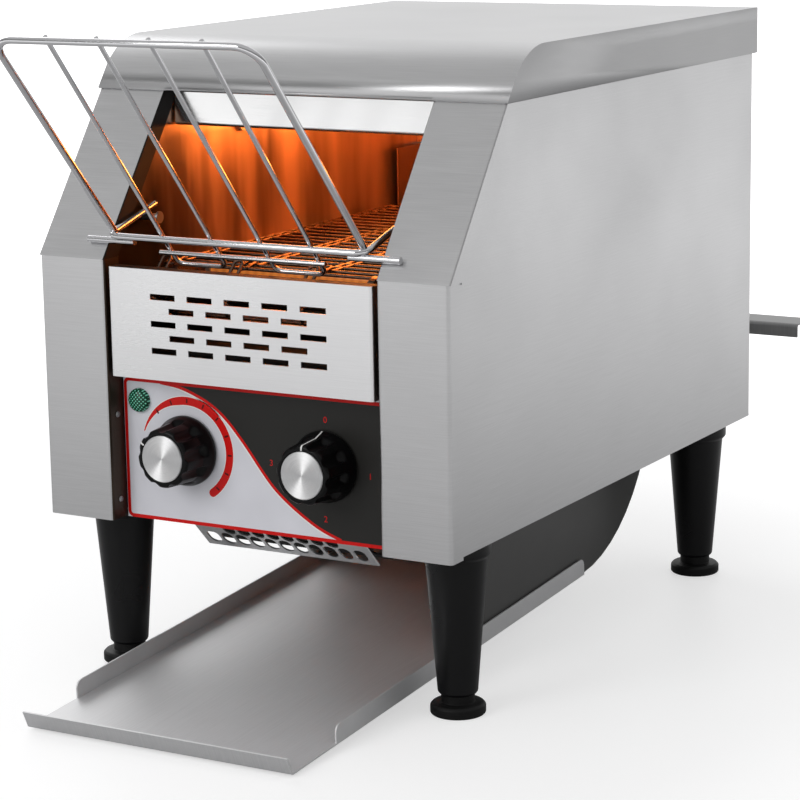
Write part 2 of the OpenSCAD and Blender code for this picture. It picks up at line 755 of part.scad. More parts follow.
module inner_wall() {
    edge = 2 * skin;
    difference() {
        plate_x(wall_x, inner_skin) polygon([[edge, floor_z + skin], [edge, crease_z - 1],
            [edge + (hood_z - crease_z) / tan(slant_a), hood_z - 1], [chute_y + 20, hood_z - 1],
            [chute_y + 20, floor_z + skin]]);
        for (i = [0:upper_count - 1])
            bar_x(wall_x - 1, wall_x + 2, upper_y + i * upper_pitch, upper_z, insulator_d);
        for (i = [0:lower_count - 1])
            bar_x(wall_x - 1, wall_x + 2, belt_y + lower_y + i * lower_pitch, shaft_z + 1, insulator_d);
        for (y = [belt_y, rear_y]) bar_x(wall_x - 1, wall_x + 2, y, shaft_z, bush_outer_d);
    }
}
module inner_wall_right() { placed() color("#a89a90") inner_wall(); }
module inner_wall_left() { placed() color("#a89a90") mirror([1, 0, 0]) inner_wall(); }

module upper_reflector() {
    hw = open_hw - gap;
    placed() color("#eeeeee") plate_x(-hw, 2 * hw) bent_sheet(
        [[lip_y, hood_z - 2], [lip_y, lip_z], [lip_y + 6, lip_z], [lip_y + 12, upper_plate_z],
        [chute_y - deflector_l - 5, upper_plate_z]], inner_skin);
}
// Turns the hot air down where the toast drops
module rear_deflector() {
    wall_y = chute_y - inner_skin;
    placed() color("#c0b8b0") plate_x(-wall_x + gap, 2 * (wall_x - gap)) bent_sheet([
        [chute_y - deflector_l, upper_plate_z],
        [chute_y - 0.4 * deflector_l, upper_plate_z - 0.3 * deflector_h],
        [wall_y, upper_plate_z - deflector_h], [wall_y, chute_top + gap]], inner_skin);
}
module lower_reflector() {
    z = shaft_z - belt_r + 8;
    placed() color("#c0b8b0") plate_x(-wall_x + gap, 2 * (wall_x - gap)) bent_sheet(
        [[belt_y + 28, z + 6], [belt_y + 34, z], [rear_y - 34, z], [rear_y - 28, z + 6]], inner_skin);
}

module heater(y, z) { bar_x(-wall_x - 10, wall_x + 10, y, z, quartz_d); }
module upper_heaters() {
    placed() color("#ffb070") for (i = [0:upper_count - 1]) heater(upper_y + i * upper_pitch, upper_z);
}
module lower_heaters() {
    placed() color("#ffb070")
        for (i = [0:lower_count - 1]) heater(belt_y + lower_y + i * lower_pitch, shaft_z + 1);
}
// Ceramic caps with a flange outside the wall and a terminal stud
module insulator(y, z) {
    both_sides() difference() {
        union() {
            bar_x(wall_x - 3, wall_x + 14, y, z, insulator_d);
            bar_x(wall_x + inner_skin, wall_x + 4, y, z, insulator_d + 5);
            bar_x(wall_x + 13, wall_x + 20, y, z, 4);
        }
        bar_x(wall_x - 4, wall_x + 10, y, z, quartz_d);
    }
}
module heater_insulators() {
    placed() color("#e9e4d8") {
        for (i = [0:upper_count - 1]) insulator(upper_y + i * upper_pitch, upper_z);
        for (i = [0:lower_count - 1]) insulator(belt_y + lower_y + i * lower_pitch, shaft_z + 1);
    }
}

// ---- Conveyor ----

// Places of the rungs round the loop, in Y and Z
function around(y, a) = [y - belt_r * sin(a), shaft_z + belt_r * cos(a)];
belt_points = concat(
    [for (i = [0:rungs]) [belt_y + i * rung_pitch, belt_top]],
    [for (k = [1:arc_rungs - 1]) around(rear_y, -k * 180 / arc_rungs)],
    [for (i = [rungs:-1:0]) [belt_y + i * rung_pitch, shaft_z - belt_r]],
    [for (k = [1:arc_rungs - 1]) around(belt_y, 180 - k * 180 / arc_rungs)]);

// A flat link between two rungs, standing across the belt at x
module belt_link(x, p, q) {
    v = q - p;
    translate([x - 0.6, p[0], p[1]]) rotate([atan2(v[1], v[0]), 0, 0])
        translate([0, 0, -0.9]) cube([1.2, norm(v), 1.8]);
}
module conveyor_belt() {
    n = len(belt_points);
    placed() color("#8d7a6c") {
        for (p = belt_points) bar_x(-belt_hw, belt_hw, p[0], p[1], rung_d);
        for (i = [0:n - 1], x = [-lane_outer, -lane_inner, lane_inner, lane_outer])
            belt_link(x + (i % 2 == 0 ? 0.8 : -0.8), belt_points[i], belt_points[(i + 1) % n]);
    }
}

// Toothed wheel whose gaps open outwards round the rungs or rollers
module toothed(teeth, pitch_r, tip_r, seat, flare) {
    difference() {
        circle(r = tip_r);
        for (i = [0:teeth - 1]) rotate(i * 360 / teeth) {
            translate([0, pitch_r]) circle(r = seat);
            polygon([[-seat, pitch_r], [seat, pitch_r],
                [seat + flare, tip_r + 1], [-seat - flare, tip_r + 1]]);
        }
    }
}
module belt_sprocket(y) {
    both_sides() plate_x(sprocket_x - 2, 4) translate([y, shaft_z]) difference() {
        toothed(belt_teeth, belt_r, belt_r + 2, rung_r + gap, 0);
        circle(d = shaft_d);
    }
}
module chain_wheel(z) {
    difference() {
        union() {
            plate_x(wheel_x - wheel_t / 2, wheel_t) translate([rear_y, z])
                toothed(chain_teeth, chain_r, chain_r + 1.2, chain_roller_d / 2 + gap, 1.1);
            bar_x(wheel_x - 1, wheel_x + 4, rear_y, z, shaft_d + 6);
        }
        bar_x(wheel_x - 4, wheel_x + 6, rear_y, z, shaft_d - 2);
    }
}
module drive_shaft() {
    placed() color("#9c9c9e") {
        bar_x(-wall_x - 5, wall_x + 4, rear_y, shaft_z, shaft_d);
        bar_x(wall_x + 3, wheel_x + 5, rear_y, shaft_z, shaft_d - 2);
    }
}
module drive_sprockets() { placed() color("#7d7468") belt_sprocket(rear_y); }
module driven_chain_wheel() { placed() color("#6a6a6c") chain_wheel(shaft_z); }
module idler_shaft() { placed() color("#9c9c9e") bar_x(-wall_x - 5, wall_x + 5, belt_y, shaft_z, shaft_d); }
module idler_sprockets() { placed() color("#7d7468") belt_sprocket(belt_y); }
module motor_shaft() {
    placed() color("#9c9c9e") bar_x(wheel_x - 2, bracket_x + 12, rear_y, motor_z, shaft_d - 2);
}
module motor_chain_wheel() { placed() color("#6a6a6c") chain_wheel(motor_z); }

// Flanged bushes in the inner walls
module bush(y) {
    both_sides() difference() {
        union() {
            bar_x(wall_x - bush_wall + 1, wall_x + bush_wall, y, shaft_z, bush_outer_d);
            bar_x(wall_x + inner_skin, wall_x + bush_wall - 0.5, y, shaft_z, bush_outer_d + 4);
        }
        bar_x(wall_x - 3, wall_x + 5, y, shaft_z, shaft_d + 2 * running);
    }
}
module shaft_bushes() { placed() color("#b5863c") { bush(belt_y); bush(rear_y); } }

// Roller chain between the motor and the rear shaft
chain_arc = chain_teeth / 2;
chain_points = concat(
    [for (i = [0:chain_run]) [rear_y + chain_r, motor_z + i * chain_pitch]],
    [for (k = [1:chain_arc - 1]) let (a = k * 180 / chain_arc)
        [rear_y + chain_r * cos(a), shaft_z + chain_r * sin(a)]],
    [for (i = [chain_run:-1:0]) [rear_y - chain_r, motor_z + i * chain_pitch]],
    [for (k = [1:chain_arc - 1]) let (a = 180 + k * 180 / chain_arc)
        [rear_y + chain_r * cos(a), motor_z + chain_r * sin(a)]]);
module chain_plate(x, p, q) {
    v = q - p;
    translate([x, p[0], p[1]]) rotate([atan2(v[1], v[0]), 0, 0])
        translate([0, -1.4, -2]) cube([0.7, norm(v) + 2.8, 4]);
}
module drive_chain() {
    n = len(chain_points);
    placed() color("#77777a") {
        for (p = chain_points) bar_x(wheel_x - 3.4, wheel_x + 3.4, p[0], p[1], chain_roller_d);
        for (i = [0:n - 1]) both_chain_sides() chain_plate(i % 2 == 0 ? 1.9 : 2.6,
            chain_points[i], chain_points[(i + 1) % n]);
    }
}
module both_chain_sides() {
    translate([wheel_x, 0, 0]) { children(); mirror([1, 0, 0]) children(); }
}

// Flat synchronous motor with its gearbox, on a stand-off bracket
module gear_motor() {
    placed() color("#8a8a8d") difference() {
        union() {
            bar_x(bracket_x + bracket_t, bracket_x + bracket_t + motor_l, rear_y, motor_z, motor_d);
            bar_x(bracket_x - 0.5, bracket_x + bracket_t + 1, rear_y, motor_z, 18);
            for (a = [45:90:315]) bar_x(bracket_x - 1.2, bracket_x + bracket_t + 1,
                rear_y + motor_d * 0.44 * cos(a), motor_z + motor_d * 0.44 * sin(a), 4);
        }
        bar_x(bracket_x - 2, bracket_x + 13, rear_y, motor_z, shaft_d - 2 + 2 * running);
    }
}
module motor_bracket() {
    h = motor_d / 2 + 8;
    foot_x = wall_x + inner_skin;
    placed() color("#a5a5a6") difference() {
        translate([0, 0, motor_z - motor_d / 2 - 2]) linear_extrude(motor_d + 4) bent_sheet([
            [foot_x, rear_y + h + 10], [foot_x, rear_y + h], [bracket_x, rear_y + h],
            [bracket_x, rear_y - h], [foot_x, rear_y - h], [foot_x, rear_y - h - 10]],
            bracket_t, 1);
        bar_x(bracket_x - 2, bracket_x + 4, rear_y, motor_z, 18);
        for (a = [45:90:315]) bar_x(bracket_x - 2, bracket_x + 4,
            rear_y + motor_d * 0.44 * cos(a), motor_z + motor_d * 0.44 * sin(a), 4);
        // The chain passes above the bracket's plate
        block([bracket_x - 1, rear_y - 18, motor_z + 12], [bracket_x + 4, rear_y + 18, motor_z + motor_d]);
    }
}

// Wiring point on the floor of the left compartment
module terminal_block() {
    x0 = -half_w + side_flange + 4;
    pole = 11;
    y0 = body_d - 76;
    z0 = floor_z + skin;
    placed() color("#e6e2da") difference() {
        union() {
            block([x0 + 2, y0, z0], [x0 + 22, y0 + 5 * pole + 2, z0 + 9]);
            for (i = [0:4])
                block([x0 + 5, y0 + 2 + i * pole, z0], [x0 + 19, y0 + i * pole + pole, z0 + 17]);
        }
        for (i = [0:4]) translate([x0 + 12, y0 + 1 + (i + 0.5) * pole, z0 + 10]) cylinder(d = 5, h = 10);
    }
}
module cable_gland() {
    placed() color("#1c1c1c") translate([-gland_x, body_d, gland_z]) rotate([-90, 0, 0]) difference() {
        union() {
            translate([0, 0, -10]) cylinder(d = gland_d, h = 12);
            translate([0, 0, -skin - 5]) cylinder(d = 24, h = 5, $fn = 6);
            cylinder(d = 24, h = 6, $fn = 6);
            rotate_extrude() polygon([[0, 5], [10.5, 5], [10.5, 11], [8.5, 17], [6.8, 20], [0, 20]]);
        }
        translate([0, 0, -11]) cylinder(d = 9, h = 32);
    }
}

// ---- Chute and tray ----

// Inner face of the chute from its top, round the bend, to its foot under the tray
function chute_line() = concat(
    [[chute_y, chute_top], [chute_y, chute_cz]],
    [for (k = [1:11]) let (a = k * (90 - tray_a) / 12)
        [chute_cy + chute_r * cos(a), chute_cz - chute_r * sin(a)]],
    [[foot_y, foot_z]]);
module return_chute() {
    t = inner_skin;
    cheek_front = shield_y + 29;
    slope = [-cos(tray_a), -sin(tray_a)];
    down = [sin(tray_a), -cos(tray_a)];
    // A step down lets the tray's floor lie flush with the chute's
    step = [foot_y, foot_z] + slope + down * (tray_t + gap);
    line = concat(chute_line(), [step, step + slope * 24]);
    // The cheeks reach half way into the sheet that they are bent from
    cheek_line = concat(offset_line(chute_line(), t / 2), [[tray_end + 4, cheek_z], [cheek_front, cheek_z],
        [cheek_front, side_z], [shield_y + 14, floor_z + 10], [shield_y + 14, shield_z],
        [rear_y + 26, shield_z], [rear_y + 26, chute_top]]);
    placed() color("#4a4a4b") {
        plate_x(-chute_hw, 2 * chute_hw) polygon(concat(line, reversed(offset_line(line, t))));
        plate_x(chute_hw - t, t) polygon(cheek_line);
        // The left cheek is cut back under the body
        mirror([1, 0, 0]) difference() {
            plate_x(chute_hw - t, t) polygon(cheek_line);
            block([chute_hw - 2 * t, 0, 0], [chute_hw + t, chute_y - left_cheek, floor_z]);
        }
        both_sides() block([chute_hw - t, shield_y + 14, shield_z - t], [wall_x, rear_y + 26, shield_z]);
    }
}

// Tray: floor, side walls and a raised lip; it slides on the chute's foot
module output_tray() {
    drop = [sin(tray_a), -cos(tray_a)];
    run = [cos(tray_a), sin(tray_a)];
    // Back edge of the floor's lower face, so that its upper face meets the chute's foot
    end = [tray_end, foot_z - (foot_y - tray_end) * tan(tray_a) - tray_t / cos(tray_a)];
    front = end - run * (tray_end - tray_start) / cos(tray_a);
    lip_top = front + [-5, lip_h - tray_t];
    wall_foot = end - run * (tray_end + tray_tongue) / cos(tray_a);
    up = -drop * tray_wall;
    low = -drop * tray_t / 2;
    r = 5;
    wall = concat([wall_foot + low, end + low], corner_arc(end, end + up, wall_foot + up, r),
        corner_arc(end + up, wall_foot + up, wall_foot, r));
    placed() color("#bfbfc0") {
        plate_x(-tray_hw, 2 * tray_hw) bent_sheet([lip_top, front, end], tray_t, 1);
        both_sides() plate_x(tray_hw - tray_t, tray_t) polygon(wall);
    }
}

// ---- Feed rack ----

// Frame of the rack: X across, Y up along its slope, Z out of its upper face
module on_rack() {
    translate([0, rail_y, rail_z]) rotate([180 - rack_a, 0, 0]) mirror([0, 0, 1]) children();
}
module wire_x(hw, y, d) { translate([-hw, y, 0]) rotate([0, 90, 0]) cylinder(d = d, h = 2 * hw); }
module wire_y(x, y0, y1, d) { translate([x, y0, 0]) rotate([-90, 0, 0]) cylinder(d = d, h = y1 - y0); }

// A bend between two straight wires, a touch thicker so that their ends sit inside it
module wire_bend(r, d) { rotate_extrude(angle = 90) translate([r, 0]) circle(d = d + 0.1); }

// Cross bar whose ends bend back as arms and reach inside over the studs
module rack_bar() {
    translate([0, bar_y, bar_z]) rotate([arm_a, 0, 0]) {
        wire_x(arm_x - elbow_r + weld, 0, rail_d);
        both_sides() {
            translate([arm_x - elbow_r, elbow_r, 0]) rotate([0, 0, -90]) wire_bend(elbow_r, rail_d);
            wire_y(arm_x, elbow_r - weld, arm_l, rail_d);
        }
    }
}
// Side rails and top wire in one piece, on the cross bar
module rack_frame() {
    both_sides() {
        wire_y(rail_hw, -1, rack_l - rack_corner + weld, rail_d);
        translate([rail_hw - rack_corner, rack_l - rack_corner, 0]) wire_bend(rack_corner, rail_d);
    }
    wire_x(rail_hw - rack_corner + weld, rack_l, rail_d);
}
// Inner wires, joined in pairs at their feet, with a cross wire below them
module rack_rods() {
    low_y = -13;
    half = rod_pitch / 2 - rod_bend;
    both_sides() {
        for (x = [rod_pitch / 2, 1.5 * rod_pitch]) wire_y(x, -rod_foot - weld, rack_l + 3, rod_d);
        translate([rod_pitch, -rod_foot, 0]) {
            translate([half, 0, 0]) rotate([0, 0, -90]) wire_bend(rod_bend, rod_d);
            translate([-half, 0, 0]) rotate([0, 0, 180]) wire_bend(rod_bend, rod_d);
            wire_x(half + weld, -rod_bend, rod_d);
        }
    }
    translate([0, 0, weld - rod_d]) wire_x(1.5 * rod_pitch + 6, low_y, rod_d);
}
module feed_rack() {
    placed() color("#d8d8da") {
        translate([-rack_side, 0, 0]) {
            rack_bar();
            on_rack() rack_frame();
            // The inner wires run from the cross bar to the top wire, on the side of the bread
            on_rack() translate([0, 0, rod_z - wire_step]) rotate([atan(wire_step / rack_l), 0, 0])
                rack_rods();
        }
        // Stubs that rest on the stiles
        both_sides() bar_x(arm_x - elbow_r - rack_side - 4, stub_hw, stub_y, stub_z, rail_d);
    }
}

// Studs on the inner walls under the arms' ends
// The arms keep clear of the studs' heads
stud_hw = rail_hw - rack_side - gap;
stud_along = arm_l - 10;
stud_y = bar_y + stud_along * cos(arm_a) + (rail_d + gap) * sin(arm_a);
stud_z = bar_z + stud_along * sin(arm_a) - (rail_d + gap) * cos(arm_a);
module rack_studs() {
    placed() color("#b0b0b2") both_sides() {
        bar_x(stud_hw, wall_x, stud_y, stud_z, rail_d);
        bar_x(stud_hw - 1.5, stud_hw, stud_y, stud_z, rail_d + 3);
    }
}

// ---- Rear spacer ----

module rear_spacer() {
    y0 = body_d + spacer_reach;
    spacer_hw = half_w - spacer_inset;
    arm_h = 16;
    placed() color("#a9a9a8") {
        plate_x(-spacer_hw, 2 * spacer_hw) bent_sheet([[y0 + spacer_top, spacer_z - 6],
            [y0 + spacer_top, spacer_z], [y0, spacer_z], [y0, spacer_z - spacer_flange]], skin);
        both_sides() {
            block([spacer_arm_x, body_d, spacer_z - skin - arm_h],
                [spacer_arm_x + skin, y0 + spacer_top - skin, spacer_z - skin / 2]);
            block([spacer_arm_x, body_d, spacer_z - skin - arm_h],
                [spacer_arm_x + 14, body_d + skin, spacer_z - skin]);
        }
    }
}

// ---- Fasteners ----

screw_d = 6.4;
module screw_head(d = screw_d) {
    difference() {
        rotate_extrude() polygon([[0, 0], [d / 2, 0], [d / 2, 0.8], [d / 2 - 1, 1.7], [0, 2.1]]);
        translate([-d, -0.4, 1.2]) cube([2 * d, 0.8, 2]);
    }
}
module cover_screws() {
    placed() color("#c4c4c5") {
        // Back panel and spacer feet
        for (x = [-half_w + 8, half_w - 8], z = [side_z + 12, (side_z + hood_z) / 2, hood_z - 12])
            translate([x, body_d, z]) rotate([-90, 0, 0]) screw_head();
        for (x = [-spacer_arm_x - 8, spacer_arm_x + 8])
            translate([x, body_d + skin, spacer_z - 9]) rotate([-90, 0, 0]) screw_head();
        // Hood skirts
        both_sides() for (y = [slant_setback + 60, body_d - 40])
            translate([hood_hw, y, hood_z + 9]) rotate([0, 90, 0]) screw_head(5);
        // Control panel, on the stiles' returns
        both_sides() for (z = [leg_h + 12, leg_h + 66])
            translate([open_hw, panel_recess - 7, z]) rotate([0, -90, 0]) screw_head(4);
    }
}

// ---- Legs and feet ----

flange_h = 8;
// Boss that passes between the side flanges up to the base plate
boss_r = leg_inset - side_flange - 0.5;
module leg(x, y) {
    placed() color("#1b1b1b") translate([x, y, 0]) difference() {
        rotate_extrude() polygon([[0, leg_foot_z], [leg_foot_d / 2 - 1, leg_foot_z],
            [leg_foot_d / 2, leg_foot_z + 1.4], [leg_top_d / 2, side_z - flange_h - 2],
            [leg_top_d / 2 + 2, side_z - flange_h], [leg_top_d / 2 + 2.4, side_z - flange_h + 1],
            [leg_top_d / 2 + 2.4, side_z], [boss_r, side_z], [boss_r, floor_z], [0, floor_z]]);
        translate([0, 0, leg_foot_z - 1]) cylinder(d = stem_d + 2 * running, h = stem_l + 3);
    }
}
module foot(x, y) {
    placed() color("#151515") translate([x, y, 0]) {
        rotate_extrude() polygon([[0, 0], [pad_d / 2 - 1, 0], [pad_d / 2, 1], [pad_d / 2, pad_h - 2],
            [pad_d / 2 - 1.5, pad_h - 0.4], [pad_d / 2 - 4.5, pad_h], [leg_foot_d / 2 - 2, pad_h],
            [leg_foot_d / 2 - 2, leg_foot_z - gap], [0, leg_foot_z - gap]]);
        translate([0, 0, pad_h]) cylinder(d = stem_d, h = stem_l);
    }
}
module leg_front_left() { leg(-leg_x, leg_front); }
module leg_front_right() { leg(leg_x, leg_front); }
module leg_rear_left() { leg(-leg_x, leg_rear_y); }
module leg_rear_right() { leg(leg_x, leg_rear_y); }
module foot_front_left() { foot(-leg_x, leg_front); }
module foot_front_right() { foot(leg_x, leg_front); }
module foot_rear_left() { foot(-leg_x, leg_rear_y); }
module foot_rear_right() { foot(leg_x, leg_rear_y); }

side_panel_left();
side_panel_right();
slant_stile_left();
slant_stile_right();
top_cover();
back_panel();
base_plate();
front_vent_panel();
control_panel();
control_overlay();
front_guard();
inner_guard();
heat_shield();
inner_wall_left();
inner_wall_right();
upper_reflector();
rear_deflector();
lower_reflector();
upper_heaters();
lower_heaters();
heater_insulators();
conveyor_belt();
shaft_bushes();
return_chute();
speed_control();
selector_switch();
indicator_lamp();
indicator_lens();
gear_motor();
motor_bracket();
drive_chain();
terminal_block();
cable_gland();
rear_spacer();
rack_studs();
cover_screws();
leg_front_left();
leg_front_right();
leg_rear_left();
leg_rear_right();
speed_knob();
speed_knob_disc();
speed_spindle();
selector_knob();
selector_knob_disc();
selector_spindle();
drive_shaft();
drive_sprockets();
driven_chain_wheel();
idler_shaft();
idler_sprockets();
motor_shaft();
motor_chain_wheel();
output_tray();
feed_rack();
foot_front_left();
foot_front_right();
foot_rear_left();
foot_rear_right();
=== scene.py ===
"""Conveyor toaster: the visible pieces, the finishes and the stage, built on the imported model."""

import json
import math

import bmesh
import bpy
from bpy.props import FloatProperty, FloatVectorProperty, IntProperty, PointerProperty
from mathutils import Matrix, Vector

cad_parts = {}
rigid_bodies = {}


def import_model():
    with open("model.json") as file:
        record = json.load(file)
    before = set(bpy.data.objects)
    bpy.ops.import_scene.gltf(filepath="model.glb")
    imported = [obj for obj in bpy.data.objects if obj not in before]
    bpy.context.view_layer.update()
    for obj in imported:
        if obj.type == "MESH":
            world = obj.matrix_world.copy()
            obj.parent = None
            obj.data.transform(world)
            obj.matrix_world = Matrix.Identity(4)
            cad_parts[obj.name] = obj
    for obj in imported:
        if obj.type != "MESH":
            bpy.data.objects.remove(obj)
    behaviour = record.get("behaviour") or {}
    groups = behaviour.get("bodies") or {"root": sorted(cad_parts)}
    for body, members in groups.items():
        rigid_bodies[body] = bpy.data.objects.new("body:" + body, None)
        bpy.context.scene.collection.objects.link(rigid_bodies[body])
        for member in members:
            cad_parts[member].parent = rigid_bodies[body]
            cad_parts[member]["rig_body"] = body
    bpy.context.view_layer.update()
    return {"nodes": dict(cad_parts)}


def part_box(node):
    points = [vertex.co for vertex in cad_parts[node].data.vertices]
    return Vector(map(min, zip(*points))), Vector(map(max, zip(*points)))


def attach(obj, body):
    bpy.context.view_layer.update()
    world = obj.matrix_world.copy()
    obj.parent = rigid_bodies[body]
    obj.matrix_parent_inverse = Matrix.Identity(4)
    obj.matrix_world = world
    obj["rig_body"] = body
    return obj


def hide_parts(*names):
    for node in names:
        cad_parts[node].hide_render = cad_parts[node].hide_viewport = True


bl_info = {
    "name": "Conveyor Toaster",
    "version": (1, 0, 0),
    "blender": (4, 5, 0),
    "location": "View3D > Sidebar > Toaster",
    "description": "Builds the pieces, finishes and stage of a conveyor toaster",
    "category": "Object",
}

MM = 0.001
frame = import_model()
nodes = frame["nodes"]
# Y of the stiles' front face, from which the sizes below are given
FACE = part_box("front_vent_panel")[0].y


def at(x, y, z):
    """A place in the frame, from millimetres across, behind the stile face and above the table."""
    return Vector((x * MM, FACE + y * MM, z * MM))


def linear(code):
    """An sRGB hex colour as linear red, green and blue."""
    parts = [int(code[k : k + 2], 16) / 255 for k in (1, 3, 5)]
    return tuple(p / 12.92 if p <= 0.04045 else ((p + 0.055) / 1.055) ** 2.4 for p in parts)


def length(name, description, mm):
    """A size property, given in millimetres."""
    return FloatProperty(
        name=name, description=description, default=mm * MM, min=0.0, unit="LENGTH", precision=4
    )


def shade(name, description, code):
    """A colour property, given as sRGB hex."""
    return FloatVectorProperty(
        name=name, description=description, default=linear(code), min=0.0, max=1.0, size=3, subtype="COLOR"
    )


class ToasterSizes(bpy.types.PropertyGroup):
    """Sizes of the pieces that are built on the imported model."""

    slope: FloatProperty(
        name="Front slope",
        description="Slope of the leaning stiles",
        default=math.atan2(97, 72),
        unit="ROTATION",
    )
    nose: length("Nose radius", "Radius of the hood's nose", 50)
    hood_edge: length("Hood edge", "Radius of the hood's long edges", 3)
    hood_sheet: length("Hood sheet", "Thickness of the hood's sheet", 1)
    rack_slope: FloatProperty(
        name="Rack slope", description="Slope of the feed rack", default=math.radians(48.2), unit="ROTATION"
    )
    outer_wire: length("Outer wire", "Diameter of the rack's outer wires", 4.4)
    inner_wire: length("Inner wire", "Diameter of the rack's inner wires", 3)
    rung: length("Belt wire", "Diameter of the belt's wires", 2.2)
    rung_pitch: length("Belt pitch", "Distance between the belt's wires", 12.7)
    belt_teeth: IntProperty(name="Belt teeth", description="Teeth of a belt sprocket", default=8, min=4)
    chain_pitch: length("Chain pitch", "Pitch of the drive chain", 6.35)
    chain_teeth: IntProperty(name="Chain teeth", description="Teeth of a chain sprocket", default=12, min=6)
    border: length("Border", "Width of the overlay's border", 2.2)
    flutes: IntProperty(name="Flutes", description="Finger flutes round a knob", default=9, min=3)
    pointer: length("Pointer", "Width of a knob's pointer line", 0.9)


class ToasterColours(bpy.types.PropertyGroup):
    """Colours of the finishes."""

    steel: shade("Body steel", "Brushed stainless steel of the body", "#C8C8C9")
    # Darker than the body steel: painted shade on the hood's sides
    skirt: shade("Skirt steel", "Duller stainless steel of the hood's folded sides", "#A6A6A7")
    # Lighter than the body steel: painted light
    bright: shade("Bright steel", "Brushed stainless steel of the vent panel and the tray", "#E4E4E5")
    # Heat tint, which also paints in the tubes' orange glow
    warm: shade("Heated steel", "Stainless steel that the heat has coloured", "#CBA286")
    belt: shade("Belt wire", "Heat-tinted wire of the belt", "#6E5A4E")
    chrome: shade("Chromed wire", "Polished wire of the rack", "#D8D8DA")
    coat: shade("Chute coat", "Baked coat of the chute", "#474746")
    film: shade("Overlay film", "Silver-grey film of the overlay", "#E3E3EA")
    dark: shade("Overlay dark", "Dark field of the overlay", "#272624")
    red: shade("Overlay red", "Red print of the overlay", "#D80C08")
    lens: shade("Lens", "Green lens of the indicator lamp", "#075A3E")
    glow: shade("Glow", "Light of the quartz tubes", "#FF9545")


# ---- Small tools ----


def feed(tree, node, inputs):
    """Sets or links a node's inputs. A node given as a value stands for its first output."""
    for key, value in inputs.items():
        if isinstance(value, bpy.types.Node):
            value = value.outputs[0]
        if isinstance(value, bpy.types.NodeSocket):
            tree.links.new(value, node.inputs[key])
        else:
            node.inputs[key].default_value = value


def add_node(tree, kind, inputs=None, stops=None, **settings):
    """Adds one node with its settings, its ramp's stops, and values or links for its inputs."""
    node = tree.nodes.new(kind)
    for key, value in settings.items():
        setattr(node, key, value)
    for k, (place, colour) in enumerate(stops or ()):
        ramp = node.color_ramp.elements
        stop = ramp[k] if k < 2 else ramp.new(place)
        stop.position, stop.color = place, (*colour, 1)
    feed(tree, node, inputs or {})
    return node


def new_material(name):
    """An empty node material with its surface shader."""
    material = bpy.data.materials.new(name)
    material.use_nodes = True
    tree = material.node_tree
    tree.nodes.clear()
    shader = add_node(tree, "ShaderNodeBsdfPrincipled")
    add_node(tree, "ShaderNodeOutputMaterial", {"Surface": shader})
    return tree, shader


def scaled(colour, factor):
    """A colour made lighter or darker."""
    return tuple(min(1.0, c * factor) for c in colour)


def scale_for(*sizes):
    """The pattern scale that gives marks of this size in mm, or of these sizes along X, Y and Z."""
    scales = [1 / (size * MM) for size in sizes]
    return scales if len(scales) > 1 else scales[0]


def start_tree(name, *inputs):
    """A geometry tree and its inputs, each given as its name, its kind of socket and its default."""
    tree = bpy.data.node_groups.new(name, "GeometryNodeTree")
    for label, kind, default in inputs:
        socket = tree.interface.new_socket(label, in_out="INPUT", socket_type=kind)
        if default is not None:
            socket.default_value = default
    tree.interface.new_socket("Grown", in_out="OUTPUT", socket_type="NodeSocketGeometry")
    return tree, add_node(tree, "NodeGroupInput").outputs


def end_tree(tree, geometry, material):
    """Makes plain faces of what grew, gives them their finish and hands them out."""
    plain = add_node(tree, "GeometryNodeRealizeInstances", {"Geometry": geometry})
    done = add_node(tree, "GeometryNodeSetMaterial", {"Geometry": plain, "Material": material})
    add_node(tree, "NodeGroupOutput", {"Grown": done})
    return tree


def grown(name, tree, seed_mesh, inputs):
    """Runs a node tree on a seed mesh, and keeps what grows as the object's plain mesh."""
    piece = bpy.data.objects.new(name, seed_mesh)
    bpy.context.scene.collection.objects.link(piece)
    modifier = piece.modifiers.new(tree.name, "NODES")
    modifier.node_group = tree
    for item in tree.interface.items_tree:
        if item.name in inputs:
            modifier[item.identifier] = inputs[item.name]
    depsgraph = bpy.context.evaluated_depsgraph_get()
    mesh = bpy.data.meshes.new_from_object(piece.evaluated_get(depsgraph), depsgraph=depsgraph)
    piece.modifiers.remove(modifier)
    piece.data = mesh
    if not mesh.polygons:
        raise RuntimeError(f"{name} grew nothing")
    return piece


def shade_by_angle(piece, angle=50):
    """Smooths a grown mesh, apart from its edges over an angle in degrees."""
    for polygon in piece.data.polygons:
        polygon.use_smooth = True
    piece.data.set_sharp_from_angle(angle=math.radians(angle))


def smooth_faces(bm, angle):
    """Smooths the faces of a mesh in the making, apart from its edges over an angle in degrees."""
    limit = math.radians(angle)
    for face in bm.faces:
        face.smooth = True
    for edge in bm.edges:
        edge.smooth = len(edge.link_faces) == 2 and edge.calc_face_angle() < limit


def new_piece(name, bm, *materials):
    """The object of a mesh that was made in code."""
    mesh = bpy.data.meshes.new(name)
    bm.to_mesh(mesh)
    bm.free()
    for material in materials:
        mesh.materials.append(material)
    piece = bpy.data.objects.new(name, mesh)
    bpy.context.scene.collection.objects.link(piece)
    return piece


def from_bmesh(name, bm, material, smooth_angle=None):
    """The object of a mesh that was made in code, with its faces outwards."""
    bmesh.ops.recalc_face_normals(bm, faces=bm.faces)
    if smooth_angle is not None:
        smooth_faces(bm, smooth_angle)
    return new_piece(name, bm, material)


def ride_with(piece, node):
    """Puts a finished piece on a node's body."""
    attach(piece, nodes[node]["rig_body"])


def stand_for(piece, node):
    """Puts a finished piece in the place of a node."""
    ride_with(piece, node)
    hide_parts(node)


